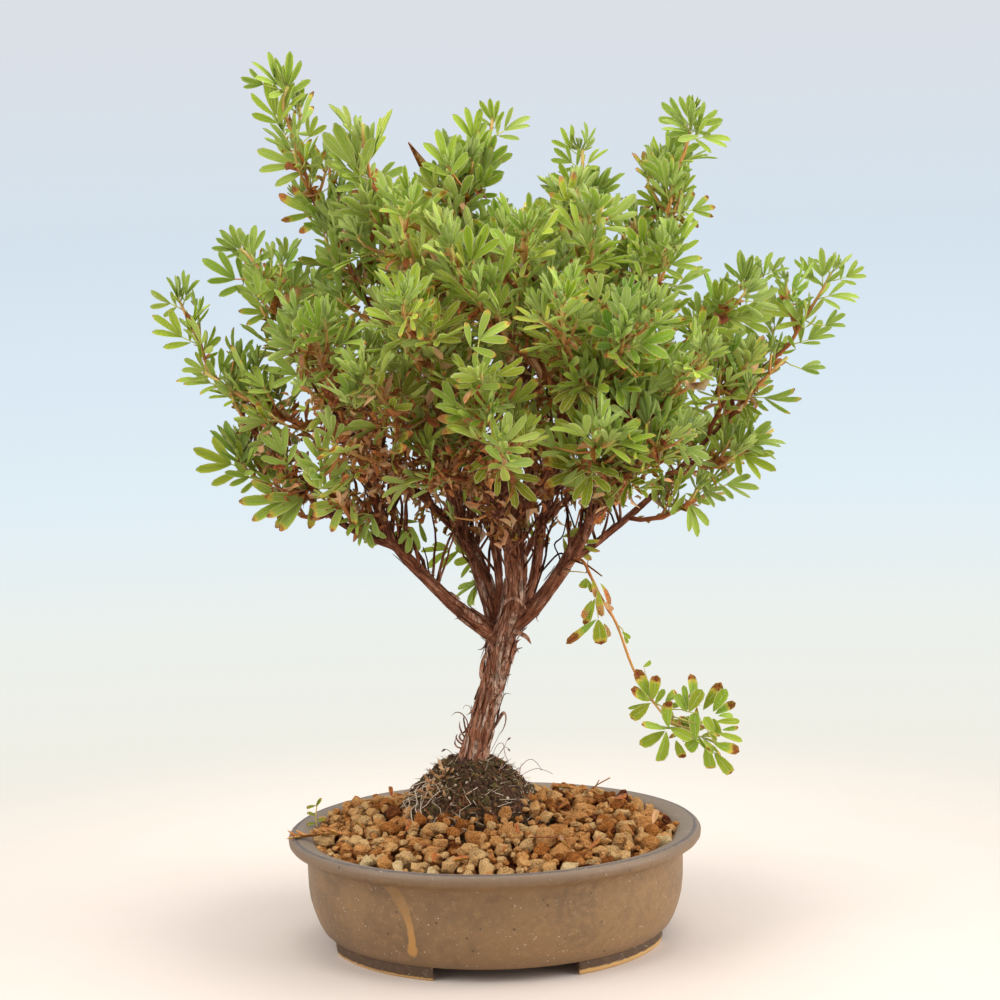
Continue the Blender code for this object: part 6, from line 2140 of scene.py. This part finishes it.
    def clothe(
        self, heap: Heap, line: Line, bare: float, growth: Growth, draw: random.Random, back: float = 0.4
    ) -> None:
        """Sets leaves along a stem, crowded at its tip.

        Args:
            heap: The shoot.
            line: The stem.
            bare: Length at its foot that carries no leaf.
            growth: How the leaves look.
            draw: Source of chance.
            back: How far behind its tip the first leaf sits.
        """
        step, around = 2.0 + 0.3 * back, draw.uniform(0, math.tau)
        while back < line.length - bare:
            point, along = line.at(line.length - back)
            around += SPIRAL
            heart = self.in_heart(point) if point.y < 30.0 else 0.0
            if draw.random() >= 0.75 * heart:
                form = self.form_at(back, draw)
                lean = math.radians(min(54.0, 14.0 + 4.0 * back) + draw.gauss(0, 9))
                side = along.orthogonal().normalized()
                side.rotate(Matrix.Rotation(around, 3, along))
                # Darker further back from the tip; shade deep in the crown and in its twiggy heart is
                # painted on as darker colour
                darkening = 0.05 + back / 55.0 + growth.inner_shade + 1.2 * heart + draw.gauss(0, 0.1)
                age = min(1.0, max(0.0, darkening))
                out = (point - self.middle).normalized()
                stalk = along * math.cos(lean) + side * math.sin(lean) + UP * (0.42 - 0.5 * age)
                light = UP * 0.6 + out * 0.4 + along * 0.35 + spread_of(draw, 0.55)
                size = growth.vigour * (0.64 + 0.38 * min(1.0, back / 6.0)) * draw.uniform(0.88, 1.14)
                browned = back > 8.0 and draw.random() < 0.32 + 0.3 * growth.inner_shade
                burn = draw.uniform(0.1, 0.36) if browned else 0.0
                if back > 20.0 and draw.random() < 0.04 + 0.25 * growth.inner_shade + 0.4 * heart:
                    form, burn = LeafForm.WITHERED, draw.uniform(0.7, 1.2)
                    stalk, size = stalk - UP * 0.7, size * 0.8
                tint = growth.tint + draw.gauss(0, 0.3)
                way = stalk.normalized()
                self.leaf(heap, form, point, way, light, size, draw, tint=tint, age=age, burn=burn)
            if back > 9.0 and draw.random() < 0.7:
                self.crumb(heap, point, draw, 1.15)
            back += step
            step = min(step * 1.32, self.internode * draw.uniform(0.85, 1.15))

    def side_line(
        self, point: Vector, along: Vector, around: float, reach: float, draw: random.Random
    ) -> Line:
        """A side shoot's line: out of the stem, then up to the light.

        Args:
            point: Where it leaves the stem.
            along: The way the stem runs.
            around: Its turn about the stem.
            reach: Its length.
            draw: Source of chance.

        Returns:
            The line.
        """
        side = along.orthogonal().normalized()
        side.rotate(Matrix.Rotation(around, 3, along))
        start = (along * 0.7 + side * 0.8).normalized()
        end = (start * 0.5 + UP * 0.8 + along * 0.2).normalized()
        knee = point + start * reach * 0.45
        tip = knee + end * reach * 0.55 + spread_of(draw, 0.07 * reach)
        shares = (0, 0.25, 0.5, 0.75, 1.0)
        return Line([point.lerp(knee, t) * (1 - t) + knee.lerp(tip, t) * t for t in shares])

    def stem(self, heap: Heap, line: Line, foot: float, tip: float, woody: float, sides: int) -> None:
        """Adds a stem that is woody at its foot and green at its tip.

        Args:
            heap: The shoot.
            line: Its line.
            foot: Radius at its foot.
            tip: Radius at its tip.
            woody: How brown its foot is.
            sides: Sides of its section.
        """
        radii = []
        for mark in line.marks:
            knot = 1.0 + 0.12 * math.sin(mark * math.tau / self.internode)
            radii.append((foot + (tip - foot) * mark / line.length) * knot)
        shape = swept(line.points, radii, sides)
        along, wood = layer(shape, "along"), layer(shape, "wood")
        for vertex in shape.verts:
            vertex[wood] = woody + (0.12 - woody) * vertex[along] ** 1.6
        heap.take(shape)

    def scales(self, heap: Heap, line: Line, draw: random.Random) -> None:
        """Adds the dry papery sheaths of fallen leaves along a stem's older part."""
        reach = 3.0
        while reach < line.length * 0.66:
            point, along = line.at(reach)
            side = along.orthogonal().normalized()
            side.rotate(Matrix.Rotation(reach * 2.4, 3, along))
            way = (along + side * draw.uniform(0.4, 1.1)).normalized()
            scale = blade(draw.uniform(3.6, 5.6), 2.0, 0.6, draw.gauss(0.2, 0.5), 0.25, stations=SCALE)
            heap.take(scale, turned(point, way, side, 1.0), wood=draw.uniform(0.4, 0.85))
            reach += draw.uniform(3.0, 5.0)

    def spray(self, index: int, line: Line) -> Heap:
        """One packed shoot with the side shoots and leaves that grow on it.

        Args:
            index: Its number.
            line: Its line.

        Returns:
            The spray.
        """
        draw = random.Random(900 + index)
        heap = Heap()
        self.stem(heap, line, 1.1, 0.66, 1.0, 6)
        self.scales(heap, line, draw)
        vigour, tint = draw.uniform(0.9, 1.06), draw.gauss(-0.04, 0.2)
        own = index in self.portrayed
        bare = max(4.0, line.length * 0.3)
        self.clothe(heap, line, bare, Growth(vigour, 0.0, tint), draw, 3.6 if own else 0.4)
        back = draw.uniform(7.0, 11.0) + (4.0 if own else 0.0)
        around = draw.uniform(0, math.tau)
        while back < line.length - 6.0:
            point, along = line.at(line.length - back)
            around += SPIRAL + draw.gauss(0, 0.3)
            reach = draw.uniform(8.0, 18.0) + 0.12 * back
            twig = self.side_line(point, along, around, reach, draw)
            tip = twig.points[-1]
            depth = self.depth(tip)
            crowded = 0.75 * self.in_heart(tip) if tip.y < 30.0 else 0.0
            ahead = (tip - point).normalized() * 9.0
            if draw.random() < min(1.0, 0.1 + depth) - crowded and self.fits(tip + ahead) and depth > 0.28:
                self.stem(heap, twig, 0.7, 0.46, 0.6, 5)
                # Deep inside the crown the leaves grow older and browner, and are darkened as painted shade
                inner_shade = max(0.0, 0.8 - depth) * 0.8
                growth = Growth(vigour * draw.uniform(0.8, 1.0), inner_shade, tint + draw.gauss(0, 0.26))
                self.clothe(heap, twig, 2.0, growth, draw)
            back += draw.uniform(4.0, 7.0)
        return heap

    def portray(self, heaps: Sequence[Heap], lines: Sequence[Line]) -> None:
        """Sets the leaves that the photograph shows on their shoots.

        Args:
            heaps: The sprays.
            lines: Their stems.
        """
        draw = random.Random(11)
        spots = [(i, point) for i, line in enumerate(lines) for point in smooth_line(line.points, 5)]
        tree = KDTree(len(spots))
        for i, (_, point) in enumerate(spots):
            tree.insert(point, i)
        tree.balance()
        for form, rows in LEAVES.items():
            cut = CUTS[form]
            for x, y, z, angle, length, brown in rows:
                joint = Vector((x, y, z)) + spread_of(draw, 0.4)
                tilt = math.radians(angle)
                way = Vector((math.cos(tilt), draw.gauss(0, 0.22), math.sin(tilt))).normalized()
                light = (self.eye - joint).normalized() + UP * 0.45 + spread_of(draw, 0.6)
                number, foot = spots[tree.find(joint - way * cut.stalk * 0.8)[1]]
                gap = (joint - foot).length
                bend = foot.lerp(joint, 0.5) - way * gap * 0.12
                woody = gap > 12.0
                radii = [0.7, 0.5, 0.35] if woody else [0.42, 0.34, 0.3]
                stalk = swept([foot, bend, joint + way * 0.4], radii, 4)
                heaps[number].take(stalk, wood=0.5 if woody else 0.05)
                heaps[number].add(
                    draw.choice(self.shop.hands[form]),
                    turned(joint, way, light, 0.95 * length / cut.length),
                    tint=draw.gauss(0.1, 0.25),
                    age=max(0.0, 0.16 + draw.gauss(0, 0.12) + min(0.0, brown / 50)),
                    burn=max(0.0, brown / 130),
                )
                self.count += 1

    def leaflets(
        self, heap: Heap, rows: Sequence[Leaflet], age: float, widen: float, draw: random.Random
    ) -> None:
        """Adds single leaflets that face the camera.

        Args:
            heap: The spray.
            rows: The leaflets.
            age: How old they look.
            widen: Factor on their width.
            draw: Source of chance.
        """
        for x0, z0, x1, z1, depth, width, brown in rows:
            foot, tip = Vector((x0, depth, z0)), Vector((x1, depth + draw.gauss(0, 1.6), z1))
            way = (tip - foot).normalized()
            light = (self.eye - foot).normalized() + UP * 0.2 + spread_of(draw, 0.3)
            curl = draw.gauss(-0.1, 0.25) * (1.0 + brown / 50)
            length, keel = (tip - foot).length * 1.08, draw.uniform(0.15, 0.5)
            piece = blade(length, width * widen, keel, curl, stations=BROAD)
            darkening, tint = age + draw.gauss(0, 0.15), draw.gauss(0.35 - 1.5 * age, 0.15)
            marks = {"age": darkening, "tint": tint, "burn": brown / 105}
            if brown > 55:
                marks["tint"] = draw.uniform(0.5, 1.1)
            heap.take(piece, turned(foot, way, light, 1.0), wood=-1.0, **marks)

    def hanging_spray(self) -> None:
        """The long shoot that hangs over the pot, half withered above and brown-tipped below."""
        draw = random.Random(77)
        heap = Heap()
        line = Line(smooth_line(self.hanging, 4))
        self.stem(heap, line, 0.7, 0.42, 0.68, 6)
        self.leaflets(heap, HANGING_LEAFLETS, 0.5, 1.44, draw)
        for foot, tip, width, wood in (
            ((68, -40, 99), (80, -43, 96), 0.4, 0.1), ((80, -42, 94), (86, -42, 97), 0.4, 0.1),
            ((64, -38, 104), (75, -39, 101), 0.4, 0.1), ((75, -39, 101), (81, -42, 100), 0.35, 0.1),
            ((80, -42, 94), (79, -43, 90), 0.35, 0.1), ((84, -42, 95), (88, -42, 88), 0.35, 0.1),
            ((34, -6, 157), (45.5, -24, 152.6), 0.5, 1.0), ((32, -8, 152.6), (39.4, -24, 154), 0.35, 0.2),
            ((39.4, -24, 154), (40.2, -22, 158.9), 0.35, 0.9),
            ((43.3, -27, 147.7), (43.4, -32, 137), 0.35, 0.2),
            ((50.6, -32, 134.3), (53.6, -35, 131), 0.3, 0.1),
            ((60.6, -38, 113), (60.6, -39, 118), 0.25, 0.2),
            ((57, -36, 116), (60.6, -38, 113), 0.3, 0.2),
        ):
            bend = (Vector(foot) + Vector(tip)) / 2 + spread_of(draw, 0.5)
            radii = [width, width * 0.85, width * 0.6]
            heap.take(swept([Vector(foot), bend, Vector(tip)], radii, 4), wood=wood)
        for back in (3.0, 7.0, 10.0, 13.0, 18.0):
            point, along = line.at(line.length - back)
            drift = Vector((draw.gauss(0, 0.6), draw.uniform(0.2, 1.0), draw.gauss(0, 0.6)))
            way = (along * 0.3 + drift).normalized()
            light = UP + spread_of(draw, 0.4)
            place = turned(point, way, light, draw.uniform(0.75, 0.95))
            leaf = draw.choice(self.shop.leaves[LeafForm.PRIME])
            heap.add(leaf, place, age=0.85, tint=-0.3, burn=draw.uniform(0.0, 0.4))
        set_down("hanging_spray", heap.shape, self.finish, ["hanging_shoot"])

    def dead_leaves(self, lines: Sequence[Line], wood: Sequence[Vector]) -> None:
        """Withered leaves caught among the twigs in the heart of the crown.

        Args:
            lines: The shoots' stems.
            wood: Points on the limbs.
        """
        draw = random.Random(19)
        heap = Heap()
        limbs = [point for point in wood if 146.0 < point.z < 235.0]
        made = 0
        while made < self.withered[-1]:
            part = sum(made >= count for count in self.withered[:-1])
            if draw.random() < 0.5:
                point = draw.choice(limbs) + spread_of(draw, 3.0)
            else:
                line = draw.choice(lines)
                point, _ = line.at(line.length * draw.uniform(0.05, 0.85))
                point += spread_of(draw, 5.0)
            if self.depth(point) > 1.05 or draw.random() > 2.5 * self.in_heart(point, slice(part, part + 1)):
                continue
            self.crumb(heap, point, draw, draw.uniform(0.5, 0.95))
            made += 1
        set_down("withered_leaves", heap.shape, self.finish)

    def build(self, wood: Sequence[Vector]) -> None:
        """Makes every shoot and sets them down.

        Args:
            wood: Points on the limbs.
        """
        lines = [Line([Vector(point) for point in row]) for row in SHOOTS]
        heaps = [self.spray(index, line) for index, line in enumerate(lines, 1)]
        self.portray(heaps, lines)
        self.leaflets(heaps[18], SPRIG_LEAFLETS, 0.0, 1.15, random.Random(3))
        for index, heap in enumerate(heaps, 1):
            shoot = [f"leafy_shoot_{index:02d}"]
            set_down(f"leaf_spray_{index:02d}", heap.shape, self.finish, shoot)
        self.hanging_spray()
        self.dead_leaves(lines, wood)
        LOG.info("%d leaves", self.count)


# Studio


class RoomSheet(Sheet):
    """The room's own nodes, written with the same few kinds of node as a material."""

    def __init__(self, world: bpy.types.World) -> None:
        """Starts with an empty tree."""
        world.use_nodes = True
        self.tree = world.node_tree
        self.tree.nodes.clear()


@dataclass
class Studio:
    """The photograph's camera, a pale floor and soft light."""

    lens: float = 82.8
    pitch: float = math.radians(6.34)
    roll: float = math.radians(1.5)
    eye: Vector = field(default_factory=lambda: Vector((-5.9, -930.5, 284.6)) * MM)
    # Share of the backdrop's brightness with which the room itself lights the plant
    ambient: float = 0.66
    # The backdrop by the sine of the height above the horizon, moved to 0 to 1
    backdrop: tuple[tuple[float, Colour], ...] = (
        (0.372, shade(246, 238, 227)),
        (0.385, shade(243, 239, 229)),
        (0.402, shade(239, 240, 232)),
        (0.42, shade(236, 241, 237)),
        (0.444, shade(226, 239, 246)),
        (0.47, shade(219, 234, 244)),
        (0.50, shade(213, 227, 238)),
        (0.552, shade(220, 223, 230)),
    )

    def camera(self) -> None:
        """Makes the camera."""
        data = bpy.data.cameras.new("photo_camera")
        data.lens = self.lens
        data.sensor_width = 36.0
        data.clip_start = 0.01
        data.clip_end = 100.0
        camera = bpy.data.objects.new("photo_camera", data)
        bpy.context.scene.collection.objects.link(camera)
        ahead = Vector((0.0, math.cos(self.pitch), -math.sin(self.pitch)))
        right = Vector((1.0, 0.0, 0.0))
        up = right.cross(ahead)
        c, s = math.cos(self.roll), math.sin(self.roll)
        turn = Matrix((right * c - up * s, right * s + up * c, -ahead)).transposed().to_4x4()
        camera.matrix_world = Matrix.Translation(self.eye) @ turn
        bpy.context.scene.camera = camera

    def lamp(
        self, name: str, place: Sequence[float], size: float, power: float, colour: Sequence[float]
    ) -> None:
        """Hangs one soft square lamp that faces the plant.

        Args:
            name: Its name.
            place: Where it hangs, in metres.
            size: Its side.
            power: Its power.
            colour: Its colour.
        """
        data = bpy.data.lights.new(name, "AREA")
        data.shape = "SQUARE"
        data.size = size
        data.energy = power
        data.color = tuple(colour)
        light = bpy.data.objects.new(name, data)
        bpy.context.scene.collection.objects.link(light)
        light.location = place
        light.rotation_euler = (Vector(place) - Vector((0, 0, 0.17))).to_track_quat("Z", "Y").to_euler()

    def floor(self) -> None:
        """Lays the floor."""
        shape = bmesh.new()
        bmesh.ops.create_circle(shape, cap_ends=True, segments=96, radius=1.2)
        mesh = as_mesh(shape)
        mesh.name = "studio_floor"
        mesh.materials.append(FloorFinish().made())
        floor = bpy.data.objects.new("studio_floor", mesh)
        bpy.context.scene.collection.objects.link(floor)

    def room(self) -> None:
        """Fills the room with even pale light, warm below and cool above."""
        world = bpy.data.worlds.new("studio_room")
        bpy.context.scene.world = world
        sheet = RoomSheet(world)
        height = sheet.part(sheet.node("ShaderNodeTexCoord", output="Generated"), "Z")
        colour = sheet.ramp(height * 0.5 + 0.5, self.backdrop)
        seen = sheet.node("ShaderNodeLightPath", output="Is Camera Ray")
        strength = self.ambient + (1.0 - self.ambient) * seen
        glow = sheet.node("ShaderNodeBackground", inputs={"Color": colour, "Strength": strength})
        sheet.end("ShaderNodeOutputWorld", glow)

    def build(self) -> None:
        """Sets up the whole studio."""
        self.camera()
        self.floor()
        self.room()
        self.lamp("left", (-1.3, -0.7, 1.2), 1.3, 22.5, (1.0, 0.97, 0.93))
        self.lamp("right", (1.4, -0.4, 0.8), 1.4, 26.5, (1.0, 0.985, 0.975))
        self.lamp("top", (0.1, 0.1, 1.7), 1.3, 21.0, (1.0, 0.99, 0.97))
        view = bpy.context.scene.view_settings
        view.view_transform = "Standard"
        view.look = "None"


def dress_net() -> None:
    """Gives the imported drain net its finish."""
    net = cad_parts["drain_net"]
    material = NetFinish().made()
    if not net.material_slots:
        net.data.materials.append(material)
    for slot in net.material_slots:
        slot.material = material
    LOG.info("drain_net: finished")


def main() -> None:
    """Builds every piece in order."""
    logging.basicConfig(level=logging.INFO, format="%(message)s")
    Studio().build()
    Pot().build()
    dress_net()
    GranuleBed().build()
    Litter().build()
    RootMound().build()
    wood = Wood()
    wood.build()
    Crown(LeafShop(), LeafFinish().made()).build([row[0] for row in wood.samples])


if __name__ == "__main__":
    main()
